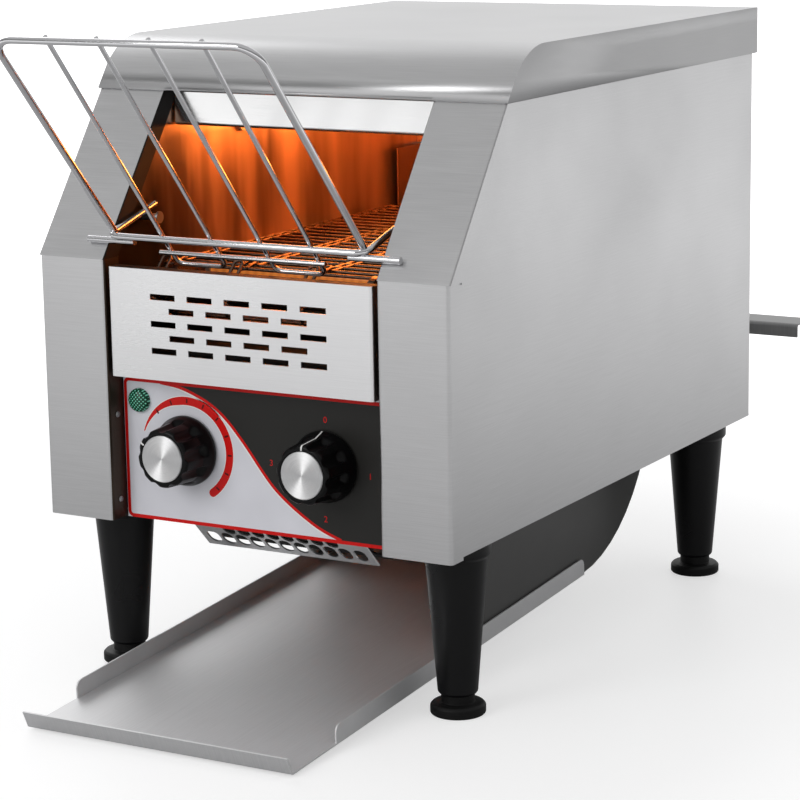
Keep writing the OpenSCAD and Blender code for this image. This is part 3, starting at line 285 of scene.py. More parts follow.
def smooth_sheet(node, name, material):
    """A folded sheet part with its triangles joined, its bends smooth and its edges sharp."""
    bm = bmesh.new()
    bm.from_mesh(nodes[node].data)
    bmesh.ops.remove_doubles(bm, verts=bm.verts, dist=0.002 * MM)
    level = math.radians(0.4)
    bmesh.ops.dissolve_limit(bm, angle_limit=level, verts=bm.verts, edges=bm.edges)
    for face in bm.faces:
        face.material_index = 0
    smooth_faces(bm, 32)
    piece = new_piece(name, bm, material)
    # Keeps flat sheet flat beside its smooth bends
    weighted = piece.modifiers.new("Even shading", "WEIGHTED_NORMAL")
    weighted.keep_sharp = True
    weighted.weight = 80
    return piece


def polyline_mesh(name, paths, closed=False):
    """A mesh of edges only, one line for each path."""
    verts, edges = [], []
    for path in paths:
        first = len(verts)
        verts += path
        edges += [(first + k, first + k + 1) for k in range(len(path) - 1)]
        if closed:
            edges.append((len(verts) - 1, first))
    mesh = bpy.data.meshes.new(name)
    mesh.from_pydata(verts, edges, [])
    return mesh


def turn_body(bm, profile, place, segments=96, radius_at=None):
    """Spins a line of (radius, height) points round local Z, and closes it at its poles."""
    rings = []
    for radius, height in profile:
        if radius == 0:
            rings.append([bm.verts.new(place @ Vector((0, 0, height)))])
            continue
        ring = []
        for k in range(segments):
            angle = math.tau * k / segments
            r = radius_at(angle, radius, height) if radius_at else radius
            ring.append(bm.verts.new(place @ Vector((r * math.cos(angle), r * math.sin(angle), height))))
        rings.append(ring)
    for low, high in zip(rings, rings[1:]):
        for k in range(segments):
            n = (k + 1) % segments
            corners = [low[k % len(low)], low[n % len(low)], high[n % len(high)], high[k % len(high)]]
            bm.faces.new(list(dict.fromkeys(corners)))


def eased(profile, radius):
    """A line of points whose inner corners are rounded."""
    steps, share = 3, 0.45
    points = [Vector(p) for p in profile]
    result = [profile[0]]
    for a, p, b in zip(points, points[1:], points[2:]):
        reach = min(radius, (a - p).length * share, (b - p).length * share)
        start, end = p + (a - p).normalized() * reach, p + (b - p).normalized() * reach
        for k in range(steps + 1):
            t = k / steps
            result.append(tuple(start * (1 - t) ** 2 + p * (2 * t * (1 - t)) + end * t**2))
    return result + [profile[-1]]


def facing_front(centre):
    """Turns local Z towards the front, and X stays to the right."""
    return Matrix.Translation(centre) @ Matrix.Rotation(math.radians(90), 4, "X")


# ---- Finishes ----


def brushed_metal(name, colour, grain, rough, contrast=0.06, depth=0.012, metallic=1.0):
    """Sheet or turned metal with its grain. grain is the size of a brush mark along X, Y and Z, in mm.

    Real marks are some 0.05 mm wide. They are drawn ten times as coarse, so that they show."""
    tree, shader = new_material(name)
    where = add_node(tree, "ShaderNodeTexCoord").outputs["Object"]
    # No brush runs quite true
    askew = (0.004, 0.006, 0.004)
    place = add_node(
        tree, "ShaderNodeMapping", {"Vector": where, "Rotation": askew, "Scale": scale_for(*grain)}
    )
    marks = add_node(tree, "ShaderNodeTexNoise", {"Vector": place, "Scale": 1.0, "Detail": 4.0})
    # Wiping leaves soft patches as wide as a hand
    cloud = add_node(tree, "ShaderNodeTexNoise", {"Vector": where, "Scale": scale_for(111.1), "Detail": 2.0})
    both = add_node(tree, "ShaderNodeMath", {0: marks, 1: cloud}, operation="ADD")
    shades = [(0.25, scaled(colour, 1 - contrast)), (0.75, scaled(colour, 1 + contrast))]
    tone = add_node(tree, "ShaderNodeValToRGB", {"Fac": marks}, stops=shades)
    gloss = add_node(
        tree,
        "ShaderNodeMapRange",
        {"Value": both, "From Min": 0.7, "From Max": 1.3, "To Min": rough[0], "To Max": rough[1]},
    )
    bump = add_node(tree, "ShaderNodeBump", {"Height": marks, "Strength": 0.35, "Distance": depth * MM})
    feed(tree, shader, {"Base Color": tone, "Roughness": gloss, "Normal": bump, "Metallic": metallic})


def moulded_plastic(name, colour, rough, grain=0.5, depth=0.02, shine=0.5):
    """Moulded or coated surface with a fine, even texture. grain is its size in mm."""
    tree, shader = new_material(name)
    where = add_node(tree, "ShaderNodeTexCoord").outputs["Object"]
    texture = add_node(
        tree, "ShaderNodeTexNoise", {"Vector": where, "Scale": scale_for(grain), "Detail": 2.0}
    )
    wear = add_node(tree, "ShaderNodeTexNoise", {"Vector": where, "Scale": scale_for(71.43), "Detail": 3.0})
    shades = [(0.3, scaled(colour, 0.9)), (0.7, scaled(colour, 1.1))]
    tone = add_node(tree, "ShaderNodeValToRGB", {"Fac": wear}, stops=shades)
    gloss = add_node(
        tree,
        "ShaderNodeMapRange",
        {"Value": wear, "From Min": 0.3, "From Max": 0.7, "To Min": rough * 0.88, "To Max": rough * 1.12},
    )
    bump = add_node(tree, "ShaderNodeBump", {"Height": texture, "Strength": 0.3, "Distance": depth * MM})
    feed(
        tree, shader, {"Base Color": tone, "Roughness": gloss, "Normal": bump, "Specular IOR Level": shine}
    )


def heated_steel(name, colour, mouth=None):
    """Stainless sheet near the tubes: straw, orange and brown oxide in upright streaks, which also paint in
    the tubes' glow.

    mouth gives how deep the soot and painted shade of the mouth is full, and where it ends. It reaches less
    deep higher up."""
    tree, shader = new_material(name)
    where = add_node(tree, "ShaderNodeTexCoord").outputs["Object"]
    # Streaks, in mm across, along and up the wall
    streaks = scale_for(16.667, 38.462, 250)
    place = add_node(tree, "ShaderNodeMapping", {"Vector": where, "Scale": streaks})
    streak_and_glow = add_node(tree, "ShaderNodeTexNoise", {"Vector": place, "Scale": 1.0, "Detail": 3.0})
    # Painted glow: the streaks run from darker to lighter than the oxide
    shades = [(0.36, scaled(colour, 0.42)), (0.66, scaled(colour, 1.35)), (0.5, colour)]
    tone = add_node(tree, "ShaderNodeValToRGB", {"Fac": streak_and_glow}, stops=shades)
    # Painted shade and soot: the sheet darkens towards the mouth
    if mouth:
        parts = add_node(tree, "ShaderNodeSeparateXYZ", {"Vector": where}).outputs
        slanted = {0: parts["Z"], 1: 0.6, 2: parts["Y"]}
        depth = add_node(tree, "ShaderNodeMath", slanted, operation="MULTIPLY_ADD")
        clean_and_unshaded = add_node(
            tree,
            "ShaderNodeMapRange",
            {"Value": depth, "From Min": mouth[0], "From Max": mouth[1], "To Min": 0.02, "To Max": 1.0},
        )
        tone = add_node(tree, "ShaderNodeVectorMath", {0: tone, "Scale": clean_and_unshaded}, operation="SCALE")
    gloss = add_node(
        tree,
        "ShaderNodeMapRange",
        {"Value": streak_and_glow, "From Min": 0.3, "From Max": 0.7, "To Min": 0.3, "To Max": 0.5},
    )
    feed(tree, shader, {"Base Color": tone, "Roughness": gloss, "Metallic": 0.9})


def chute_coat(name, colour, tint_and_glow):
    """Glossy baked coat of the chute. At its top it turns to the brown of heated steel, partly real tint and
    partly the tubes' glow painted in.
    """
    tree, shader = new_material(name)
    where = add_node(tree, "ShaderNodeTexCoord").outputs["Object"]
    cloud = add_node(tree, "ShaderNodeTexNoise", {"Vector": where, "Scale": scale_for(33.33), "Detail": 3.0})
    # The coat ends in a ragged line some way up, and thins out below it
    ragged = 30 * MM
    coat_ends, steel_starts = 0.235, 0.27
    shift = add_node(tree, "ShaderNodeMapRange", {"Value": cloud, "To Min": -ragged, "To Max": ragged})
    height = add_node(tree, "ShaderNodeSeparateXYZ", {"Vector": where}).outputs["Z"]
    line = add_node(tree, "ShaderNodeMath", {0: height, 1: shift}, operation="ADD")
    burnt_and_lit = add_node(
        tree, "ShaderNodeMapRange", {"Value": line, "From Min": coat_ends, "From Max": steel_starts}
    )
    # Above the coat: the heated steel's brown, darker, partly painted glow
    shades = [(0.0, colour), (1.0, scaled(tint_and_glow, 0.7))]
    tone = add_node(tree, "ShaderNodeValToRGB", {"Fac": burnt_and_lit}, stops=shades)
    gloss = add_node(tree, "ShaderNodeMapRange", {"Value": cloud, "To Min": 0.28, "To Max": 0.42})
    feed(tree, shader, {"Base Color": tone, "Metallic": burnt_and_lit, "Roughness": gloss})


def quartz_glow(name, colour, strength):
    """Lit quartz tube: the coil inside shows as bright bands, 6 mm apart.

    Real turns are closer. They are drawn this coarse, so that they show."""
    tree, shader = new_material(name)
    where = add_node(tree, "ShaderNodeTexCoord").outputs["Object"]
    # At scale 1 the bands of a wave are a twentieth of a full turn apart
    bands = math.tau / 20 * scale_for(6)
    coil = add_node(
        tree,
        "ShaderNodeTexWave",
        {"Vector": where, "Scale": bands, "Distortion": 0.4},
        wave_type="BANDS",
        bands_direction="X",
    )
    shades = [(0.1, scaled(colour, 0.55)), (0.8, colour)]
    tone = add_node(tree, "ShaderNodeValToRGB", {"Fac": coil.outputs["Fac"]}, stops=shades)
    glass = (*scaled(colour, 0.8), 1)
    feed(
        tree,
        shader,
        {"Emission Color": tone, "Emission Strength": strength, "Base Color": glass, "Roughness": 0.2},
    )


def signal_lens(name, colour):
    """Moulded polycarbonate lens: the grid on its back shows as lighter squares in rows 1.25 mm apart."""
    tree, shader = new_material(name)
    low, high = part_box("indicator_lens")
    row = math.pi * scale_for(1.25)
    where = add_node(tree, "ShaderNodeTexCoord").outputs["Object"]
    centred = -(low + high) / 2 * row
    place = add_node(tree, "ShaderNodeMapping", {"Vector": where, "Location": centred, "Scale": [row] * 3})
    parts = add_node(tree, "ShaderNodeSeparateXYZ", {"Vector": place}).outputs
    across = add_node(tree, "ShaderNodeMath", {0: parts["X"]}, operation="COSINE")
    upward = add_node(tree, "ShaderNodeMath", {0: parts["Z"]}, operation="COSINE")
    grid = add_node(tree, "ShaderNodeMath", {0: across, 1: upward}, operation="MULTIPLY")
    shades = [(0.3, scaled(colour, 0.55)), (0.7, linear("#89EDCB"))]
    tone = add_node(tree, "ShaderNodeValToRGB", {"Fac": grid}, stops=shades)
    bump = add_node(tree, "ShaderNodeBump", {"Height": grid, "Strength": 0.4, "Distance": 0.2 * MM})
    feed(
        tree, shader, {"Base Color": tone, "Normal": bump, "Roughness": 0.12, "Specular IOR Level": 0.35}
    )


def printed_ink(name, colour):
    """Screen-printed ink under a satin film: even colour with a faint unevenness in its gloss.

    The mesh of a printing screen is finer than 0.1 mm. It is drawn ten times as coarse, so that it shows."""
    tree, shader = new_material(name)
    where = add_node(tree, "ShaderNodeTexCoord").outputs["Object"]
    speck = add_node(tree, "ShaderNodeTexNoise", {"Vector": where, "Scale": scale_for(1.111), "Detail": 2.0})
    shades = [(0.2, scaled(colour, 0.96)), (0.8, scaled(colour, 1.04))]
    tone = add_node(tree, "ShaderNodeValToRGB", {"Fac": speck}, stops=shades)
    gloss = add_node(tree, "ShaderNodeMapRange", {"Value": speck, "To Min": 0.36, "To Max": 0.44})
    feed(tree, shader, {"Base Color": tone, "Roughness": gloss, "Specular IOR Level": 0.25})


def spun_disc(name, colour):
    """Spun aluminium: fine rings round the disc's middle spread the light into two bright wedges, and the
    same two wedges are painted into its colour as a painted highlight.
    """
    tree, shader = new_material(name)
    rings = add_node(tree, "ShaderNodeUVMap", uv_map="Spin")
    # Across the map are the turns round the disc, and up it the rings
    place = add_node(tree, "ShaderNodeMapping", {"Vector": rings, "Scale": (2.0, 60.0, 1.0)})
    marks = add_node(tree, "ShaderNodeTexNoise", {"Vector": place, "Scale": 1.0, "Detail": 3.0})
    # Painted highlight: the colour is lighter along two wedges
    turns = add_node(tree, "ShaderNodeSeparateXYZ", {"Vector": rings}).outputs["X"]
    wedges, start = 2, -3.07
    angle = add_node(
        tree, "ShaderNodeMath", {0: turns, 1: wedges * math.tau, 2: start}, operation="MULTIPLY_ADD"
    )
    painted_highlight = add_node(tree, "ShaderNodeMath", {0: angle}, operation="COSINE")
    both = add_node(tree, "ShaderNodeMath", {0: painted_highlight, 1: 0.5, 2: marks}, operation="MULTIPLY_ADD")
    shades = [(0.0, scaled(colour, 0.8)), (1.0, scaled(colour, 1.3))]
    tone = add_node(tree, "ShaderNodeValToRGB", {"Fac": both}, stops=shades)
    tangent = add_node(tree, "ShaderNodeTangent", direction_type="UV_MAP", uv_map="Spin")
    # The rings run round, so the light spreads across them
    quarter_turn = 0.25
    feed(
        tree,
        shader,
        {
            "Base Color": tone,
            "Metallic": 1.0,
            "Roughness": 0.4,
            "Anisotropic": 0.9,
            "Anisotropic Rotation": quarter_turn,
            "Tangent": tangent,
        },
    )


def make_finishes(colours):
    """All the finishes of the toaster."""
    steel, bright = tuple(colours.steel), tuple(colours.bright)
    # Cold-rolled sheet, brushed along its length: soft, wide reflections
    brushed_metal("Brushed stainless steel", steel, (28, 28, 0.5), (0.3, 0.42))
    # The hood has a finer brush, from side to side
    brushed_metal("Brushed hood steel", steel, (30, 0.8, 0.8), (0.3, 0.4), 0.04, 0.001)
    # Its folded sides keep the duller grain of the rolled sheet, in a darker grey: painted shade on the sides
    brushed_metal("Hood skirt steel", tuple(colours.skirt), (28, 28, 0.8), (0.32, 0.42), 0.04, 0.006)
    # The same sheet as a lighter copy: painted light on the vent panel and the guard
    brushed_metal("Lit copy brushed steel", bright, (30, 30, 0.5), (0.26, 0.38), 0.04)
    # The tray is brushed from front to back, in the same lighter copy (painted light), and is only partly
    # metallic
    brushed_metal("Brushed tray steel", bright, (0.5, 30, 30), (0.5, 0.62), 0.05, metallic=0.75)
    # Mill-finished sheet inside the body
    brushed_metal("Mill-finish steel", scaled(steel, 0.8), (18, 18, 0.9), (0.34, 0.5), 0.08)
    # Reflector with a rolled mirror finish: a clean white band under the hood
    brushed_metal("Polished reflector", linear("#F2F2F2"), (24, 24, 0.8), (0.16, 0.24), 0.02, 0.004)
    # Bent bar behind the toaster, which nobody polishes
    brushed_metal("Dull bar steel", linear("#8C8C8C"), (0.8, 20, 20), (0.4, 0.5), 0.08)
    # Sheet by the tubes, straw to brown with painted glow in its streaks, and black with soot and painted
    # shade where it meets the mouth
    heated_steel("Heat tint and glow steel", tuple(colours.warm))
    heated_steel("Heat tint, glow and shade side wall", tuple(colours.warm), (FACE + 222 * MM, FACE + 292 * MM))
    # Black sheet for soot and for painted shade inside the body: matt, with a dull gleam
    moulded_plastic("Soot and shade black steel", linear("#141211"), 0.6, 1.5, 0.03, 0.25)
    # Back of the control recess, dark brown: painted shade of the recess
    brushed_metal("Recess shade steel", linear("#4A4038"), (20, 20, 0.6), (0.4, 0.5), 0.08)
    # Wire that has browned in the heat but still glints
    brushed_metal("Heat-tinted wire", tuple(colours.belt), (6, 1, 1), (0.22, 0.34), 0.25, 0.004)
    # Bright chrome plate: sharp dark and light lines along each wire
    brushed_metal("Chromed wire", tuple(colours.chrome), (9, 9, 1.2), (0.1, 0.17), 0.03, 0.002)
    # Turned steel of shafts, wheels and spindles
    brushed_metal("Turned steel", linear("#A9A9AB"), (0.6, 8, 8), (0.28, 0.38), 0.08)
    # Pressed bushes: dull gold with open pores
    brushed_metal("Sintered bronze", linear("#B08A4C"), (1.2, 1.2, 1.2), (0.34, 0.46), 0.12)
    # Die-cast case of the motor: soft grey with a pebbled skin
    brushed_metal("Cast zinc", linear("#9C9C9F"), (2, 2, 2), (0.42, 0.55), 0.1, 0.02)
    # The tubes over the belt are at full heat, those under it are cooler
    quartz_glow("Lit quartz tube", tuple(colours.glow), 17.0)
    quartz_glow("Warm quartz tube", tuple(colours.glow), 0.4)
    # Fired ends of the tubes: matt and chalky
    moulded_plastic("Steatite ceramic", linear("#9A9184"), 0.55, 0.6)
    chute_coat("Baked chute coat", tuple(colours.coat), tuple(colours.warm))
    # Polyester film: satin, almost without a texture
    moulded_plastic("Overlay film", tuple(colours.film), 0.4, 0.5, 0.004)
    # Print on the film and the knobs: even and satin
    printed_ink("Dark overlay ink", tuple(colours.dark))
    printed_ink("Red overlay ink", tuple(colours.red))
    printed_ink("White pointer ink", linear("#F4F4F2"))
    printed_ink("Dark mark ink", linear("#5E0A08"))
    # Clear plastic over a lamp that is off: dark green with light squares
    signal_lens("Green lens", tuple(colours.lens))
    # Moulded cases behind the panel: plain satin grey
    moulded_plastic("Switch plastic", linear("#5A5C62"), 0.5)
    # Moulded legs: black, half glossy, with a fine skin
    moulded_plastic("Glass-filled nylon", linear("#121213"), 0.3, 0.45, 0.01, 0.24)
    # Pressed knobs: deep black, and smooth from fingers
    moulded_plastic("Phenolic knob", linear("#0A0A0B"), 0.3, 0.7, 0.004, 0.16)
    # Bright metal inlays of the knobs
    spun_disc("Spun aluminium", linear("#E6E6E7"))
    # Moulded pads of the feet: matt black
    moulded_plastic("Foot rubber", linear("#0F0F0F"), 0.5, 0.8, 0.02, 0.25)


SLOT_FINISH = {
    "body_steel": "Brushed stainless steel",
    "inner_steel": "Mill-finish steel",
    "tray_steel": "Lit copy brushed steel",
    "belt_steel": "Heat-tinted wire",
    "wire_chrome": "Chromed wire",
    "shaft_steel": "Turned steel",
    "bronze": "Sintered bronze",
    "quartz": "Lit quartz tube",
    "ceramic": "Steatite ceramic",
    "chute_coat": "Baked chute coat",
    "overlay": "Overlay film",
    "lens": "Green lens",
    "switch_plastic": "Switch plastic",
    "black_plastic": "Glass-filled nylon",
    "knob_plastic": "Phenolic knob",
    "disc_aluminium": "Spun aluminium",
    "motor_metal": "Cast zinc",
    "foot_rubber": "Foot rubber",
}


def finish(name):
    """A finish by its name."""
    return bpy.data.materials[name]


class TOASTER_OT_finishes(bpy.types.Operator):
    """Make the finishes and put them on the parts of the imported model."""

    bl_idname = "toaster.finishes"
    bl_label = "Finishes"

    # Nodes whose finish isn't their slot's
    CHOSEN = {
        "upper_reflector": "Polished reflector",
        "rear_deflector": "Heat tint and glow steel",
        "lower_heaters": "Warm quartz tube",
        "heat_shield": "Soot and shade black steel",
        "lower_reflector": "Soot and shade black steel",
    }

    def execute(self, context):
        make_finishes(context.scene.toaster_colours)
        for name, node in nodes.items():
            node["slot"] = node.data.materials[0].name.split(".")[0]
            node.data.materials[0] = finish(self.CHOSEN.get(name, SLOT_FINISH[node["slot"]]))
        return {"FINISHED"}


# ---- Body ----


class TOASTER_OT_body_sheets(bpy.types.Operator):
    """Fold the outer and inner sheets with smooth bends."""

    bl_idname = "toaster.body_sheets"
    bl_label = "Body sheets"

    SHEETS = {
        "Brushed stainless steel": (
            "side_panel_left", "side_panel_right", "slant_stile_left", "slant_stile_right", "back_panel",
        ),
        "Dull bar steel": ("rear_spacer",),
        "Lit copy brushed steel": ("front_vent_panel", "front_guard"),
        "Soot and shade black steel": ("inner_guard",),
        "Polished reflector": ("upper_reflector",),
        "Heat tint and glow steel": ("rear_deflector",),
        "Heat tint, glow and shade side wall": ("inner_wall_left", "inner_wall_right"),
        "Recess shade steel": ("control_panel",),
        "Mill-finish steel": ("base_plate",),
    }
    # Sheets whose folded returns face the mouth or the controls
    RETURNS = (
        "front_vent_panel", "slant_stile_left", "slant_stile_right", "side_panel_left", "side_panel_right",
    )

    def execute(self, context):
        for material, names in self.SHEETS.items():
            for node in names:
                stand_for(smooth_sheet(node, node + "_sheet", finish(material)), node)
        self.shade_returns()
        self.baffle()
        return {"FINISHED"}

    def shade_returns(self):
        """Paints the returns round the mouth black, for soot and painted shade, and those beside the controls
        dark brown, as painted shade.
        """
        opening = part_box("upper_reflector")[1].x + MM
        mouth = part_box("front_vent_panel")[1].z
        controls = mouth - 20 * MM
        clean_and_unshaded, soot_and_shade, brown = 0, 1, 2
        for node in self.RETURNS:
            sheet = bpy.data.objects[node + "_sheet"].data
            sheet.materials.append(finish("Soot and shade black steel"))
            sheet.materials.append(finish("Recess shade steel"))
            for face in sheet.polygons:
                if node == "front_vent_panel":
                    dark = face.normal.z > 0.9 and mouth - face.center.z < MM
                else:
                    dark = face.normal.x * face.center.x < 0 and abs(face.center.x) < opening
                low = node.startswith("side") and face.center.z < controls
                face.material_index = (brown if low else soot_and_shade) if dark else clean_and_unshaded

    def baffle(self):
        """A folded strip that closes the upper row of holes from behind."""
        low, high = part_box("front_guard")
        # Distances up the guard's slope of 45 degrees, and behind its sheet
        start, end, behind = 13.5 * MM, 32.5 * MM, 1.4 * MM
        side_gap, fold, thickness = 2 * MM, 5 * MM, 0.8 * MM
        down = math.sqrt(0.5)
        foot, head = ((high.y + (behind - d) * down, low.z + (behind + d) * down) for d in (start, end))
        line = (foot, head, (head[0] + fold, head[1]))
        bm = bmesh.new()
        rows = [[bm.verts.new((x, y, z)) for y, z in line] for x in (low.x + side_gap, high.x - side_gap)]
        for k in range(len(line) - 1):
            bm.faces.new((rows[0][k], rows[1][k], rows[1][k + 1], rows[0][k + 1]))
        # Black: soot and painted shade behind the upper holes
        strip = from_bmesh("guard_baffle", bm, finish("Soot and shade black steel"))
        sheet = strip.modifiers.new("Sheet", "SOLIDIFY")
        sheet.thickness, sheet.offset = thickness, 0
        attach(strip, nodes["front_guard"]["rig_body"])


class TOASTER_OT_hood(bpy.types.Operator):
    """Draw the hood with its rolled nose and rounded edges."""

    bl_idname = "toaster.hood"
    bl_label = "Hood"

    def execute(self, context):
        sizes = context.scene.toaster_sizes
        low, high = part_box("top_cover")
        slope, r = sizes.slope, sizes.nose
        run = (high.z - r + r * math.cos(slope) - low.z) / math.tan(slope)
        centre_y, centre_z = low.y + run + r * math.sin(slope), high.z - r
        steps = 28
        line = [(low.y, low.z)]
        for k in range(steps + 1):
            a = slope * (1 - k / steps)
            line.append((centre_y - r * math.sin(a), centre_z + r * math.cos(a)))
        line += [(high.y, high.z), (high.y, low.z)]
        bm = bmesh.new()
        sides = [[bm.verts.new((x, y, z)) for y, z in line] for x in (low.x, high.x)]
        for k in range(len(line) - 1):
            bm.faces.new((sides[0][k], sides[0][k + 1], sides[1][k + 1], sides[1][k]))
        for side in sides:
            bm.faces.new(side)
        fold = math.radians(57)
        edges = [e for e in bm.edges if len(e.link_faces) == 2 and e.calc_face_angle() > fold]
        bmesh.ops.bevel(
            bm,
            geom=edges,
            offset=sizes.hood_edge,
            segments=5,
            profile=0.5,
            affect="EDGES",
            clamp_overlap=True,
        )
        # Return under the nose, between the leaning stiles
        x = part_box("upper_reflector")[1].x
        front, back, level = low.y + 0.5 * MM, low.y + 9 * MM, low.z + 0.2 * MM
        corners = ((-x, front), (x, front), (x, back), (-x, back))
        lip = bm.faces.new([bm.verts.new((*corner, level)) for corner in corners])
        bmesh.ops.recalc_face_normals(bm, faces=bm.faces)
        if lip.normal.z > 0:
            lip.normal_flip()
        piece = new_piece("hood_shell", bm, finish("Brushed hood steel"), finish("Hood skirt steel"))
        # The sides take the darker steel: painted shade
        for face in piece.data.polygons:
            face.material_index = int(abs(face.normal.x) > 0.7)
        shade_by_angle(piece, 40)
        wall = piece.modifiers.new("Sheet", "SOLIDIFY")
        wall.thickness, wall.offset = sizes.hood_sheet, -1
        stand_for(piece, "top_cover")
        return {"FINISHED"}


# ---- Feed rack ----


def wire_tree():
    """Bends each line at its corners and gives it a round section."""
    tree, given = start_tree(
        "Bent wire",
        ("Lines", "NodeSocketGeometry", None),
        ("Diameter", "NodeSocketFloat", 4 * MM),
        ("Bend radius", "NodeSocketFloat", 6 * MM),
        ("Bend steps", "NodeSocketInt", 6),
        ("Sides", "NodeSocketInt", 16),
        ("Finish", "NodeSocketMaterial", None),
    )
    curve = add_node(tree, "GeometryNodeMeshToCurve", {"Mesh": given["Lines"]})
    bends = {"Count": given["Bend steps"], "Radius": given["Bend radius"], "Limit Radius": True}
    bent = add_node(tree, "GeometryNodeFilletCurve", {"Curve": curve, **bends}, mode="POLY")
    half = add_node(tree, "ShaderNodeMath", {0: given["Diameter"], 1: 0.5}, operation="MULTIPLY")
    section = add_node(
        tree, "GeometryNodeCurvePrimitiveCircle", {"Resolution": given["Sides"], "Radius": half}
    )
    wires = add_node(
        tree, "GeometryNodeCurveToMesh", {"Curve": bent, "Profile Curve": section, "Fill Caps": True}
    )
    return end_tree(tree, wires, given["Finish"])


class TOASTER_OT_rack(bpy.types.Operator):
    """Bend the wires of the feed rack."""

    bl_idname = "toaster.rack"
    bl_label = "Feed rack"

    def execute(self, context):
        sizes = context.scene.toaster_sizes
        low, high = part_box("feed_rack")
        rail, rod = sizes.outer_wire, sizes.inner_wire
        # Welded wires sink into each other a little
        weld = 0.2 * MM
        step = rail - weld
        slope, arm_rise = sizes.rack_slope, math.radians(15)
        # The stubs lie on the leaning stiles, and each wire on the one before
        stub_y, stub_z = FACE + 5.373 * MM, 281.6 * MM
        bar_y, bar_z = stub_y - math.cos(slope) * step, stub_z + math.sin(slope) * step
        rail_y, rail_z = bar_y + math.sin(slope) * step, bar_z + math.cos(slope) * step
        rail_x, rack_length, arm_length = 88.2 * MM, 166 * MM, 52 * MM
        # The rack sits left of the middle, by the play that its studs leave it
        side_play, stub_overlap = 2.8 * MM, 12 * MM
        arm_x = rail_x + rail / 2
        up = Vector((0, -math.cos(slope), math.sin(slope)))
        out = Vector((0, math.sin(slope), math.cos(slope)))
        middle = Vector((-side_play, 0, 0))
        origin = middle + Vector((0, rail_y, rail_z))

        def on_rack(x, along, above=0.0):
            """A place on the slope of the hoop."""
            return origin + Vector((x, 0, 0)) + up * along + out * above

        arm = Vector((0, math.cos(arm_rise), math.sin(arm_rise))) * arm_length
        ends = [middle + Vector((x, bar_y, bar_z)) for x in (-arm_x, arm_x)]
        bar = [ends[0] + arm, *ends, ends[1] + arm]
        stub_in = arm_x - side_play - stub_overlap
        spans = ((low.x, -stub_in), (stub_in, high.x))
        stubs = [[Vector((x, stub_y, stub_z)) for x in span] for span in spans]
        corners = ((-rail_x, -MM), (-rail_x, rack_length), (rail_x, rack_length), (rail_x, -MM))
        hoop = [on_rack(x, along) for x, along in corners]
        # Inner wires lean a little, from the cross bar to the top wire
        lean = math.atan(step / rack_length)
        rise = rail / 2 + rod / 2 - weld - step

        def on_rods(x, along, above=0.0):
            """A place on the slope of the inner wires."""
            return on_rack(x, along * math.cos(lean), rise + along * math.sin(lean) + above)

        pitch, bend, foot = 35 * MM, 5 * MM, -26 * MM
        rods = []
        for side in (-1, 1):
            inner, outer = side * pitch / 2, side * pitch * 1.5
            corners = ((inner, rack_length), (inner, foot), (outer, foot), (outer, rack_length))
            rods.append([on_rods(x, along) for x, along in corners])
        cross_x, cross_along = 1.5 * pitch + 6 * MM, -13 * MM
        cross = [on_rods(x, cross_along, weld - rod) for x in (-cross_x, cross_x)]
        groups = (
            ("rack_cross_bar", [bar], rail, 8 * MM),
            ("rack_stubs", stubs, rail, 0.0),
            ("rack_hoop", [hoop], rail, 14 * MM),
            ("rack_rods", rods, rod, bend),
            ("rack_lower_wire", [cross], rod, 0.0),
        )
        tree = wire_tree()
        for name, paths, diameter, bend_radius in groups:
            inputs = {
                "Diameter": diameter,
                "Bend radius": bend_radius,
                "Bend steps": 8 if bend_radius else 1,
                "Sides": 20,
                "Finish": finish("Chromed wire"),
            }
            piece = grown(name, tree, polyline_mesh(name, paths), inputs)
            shade_by_angle(piece)
            stand_for(piece, "feed_rack")
        studs = smooth_sheet("rack_studs", "rack_stud_heads", finish("Turned steel"))
        stand_for(studs, "rack_studs")
        return {"FINISHED"}


# ---- Conveyor ----


def set_along(tree, curve, piece, axes, across):
    """Sets a piece at each point of a curve. Of its own axes, the first of axes follows the curve,
    and the second keeps the direction that is given as across."""
    points = add_node(tree, "GeometryNodeCurveToPoints", {"Curve": curve}, mode="EVALUATED")
    turn = add_node(
        tree,
        "FunctionNodeAxesToRotation",
        {0: points.outputs["Tangent"], 1: across},
        primary_axis=axes[0],
        secondary_axis=axes[1],
    )
    return add_node(
        tree, "GeometryNodeInstanceOnPoints", {"Points": points, "Instance": piece, "Rotation": turn}
    )


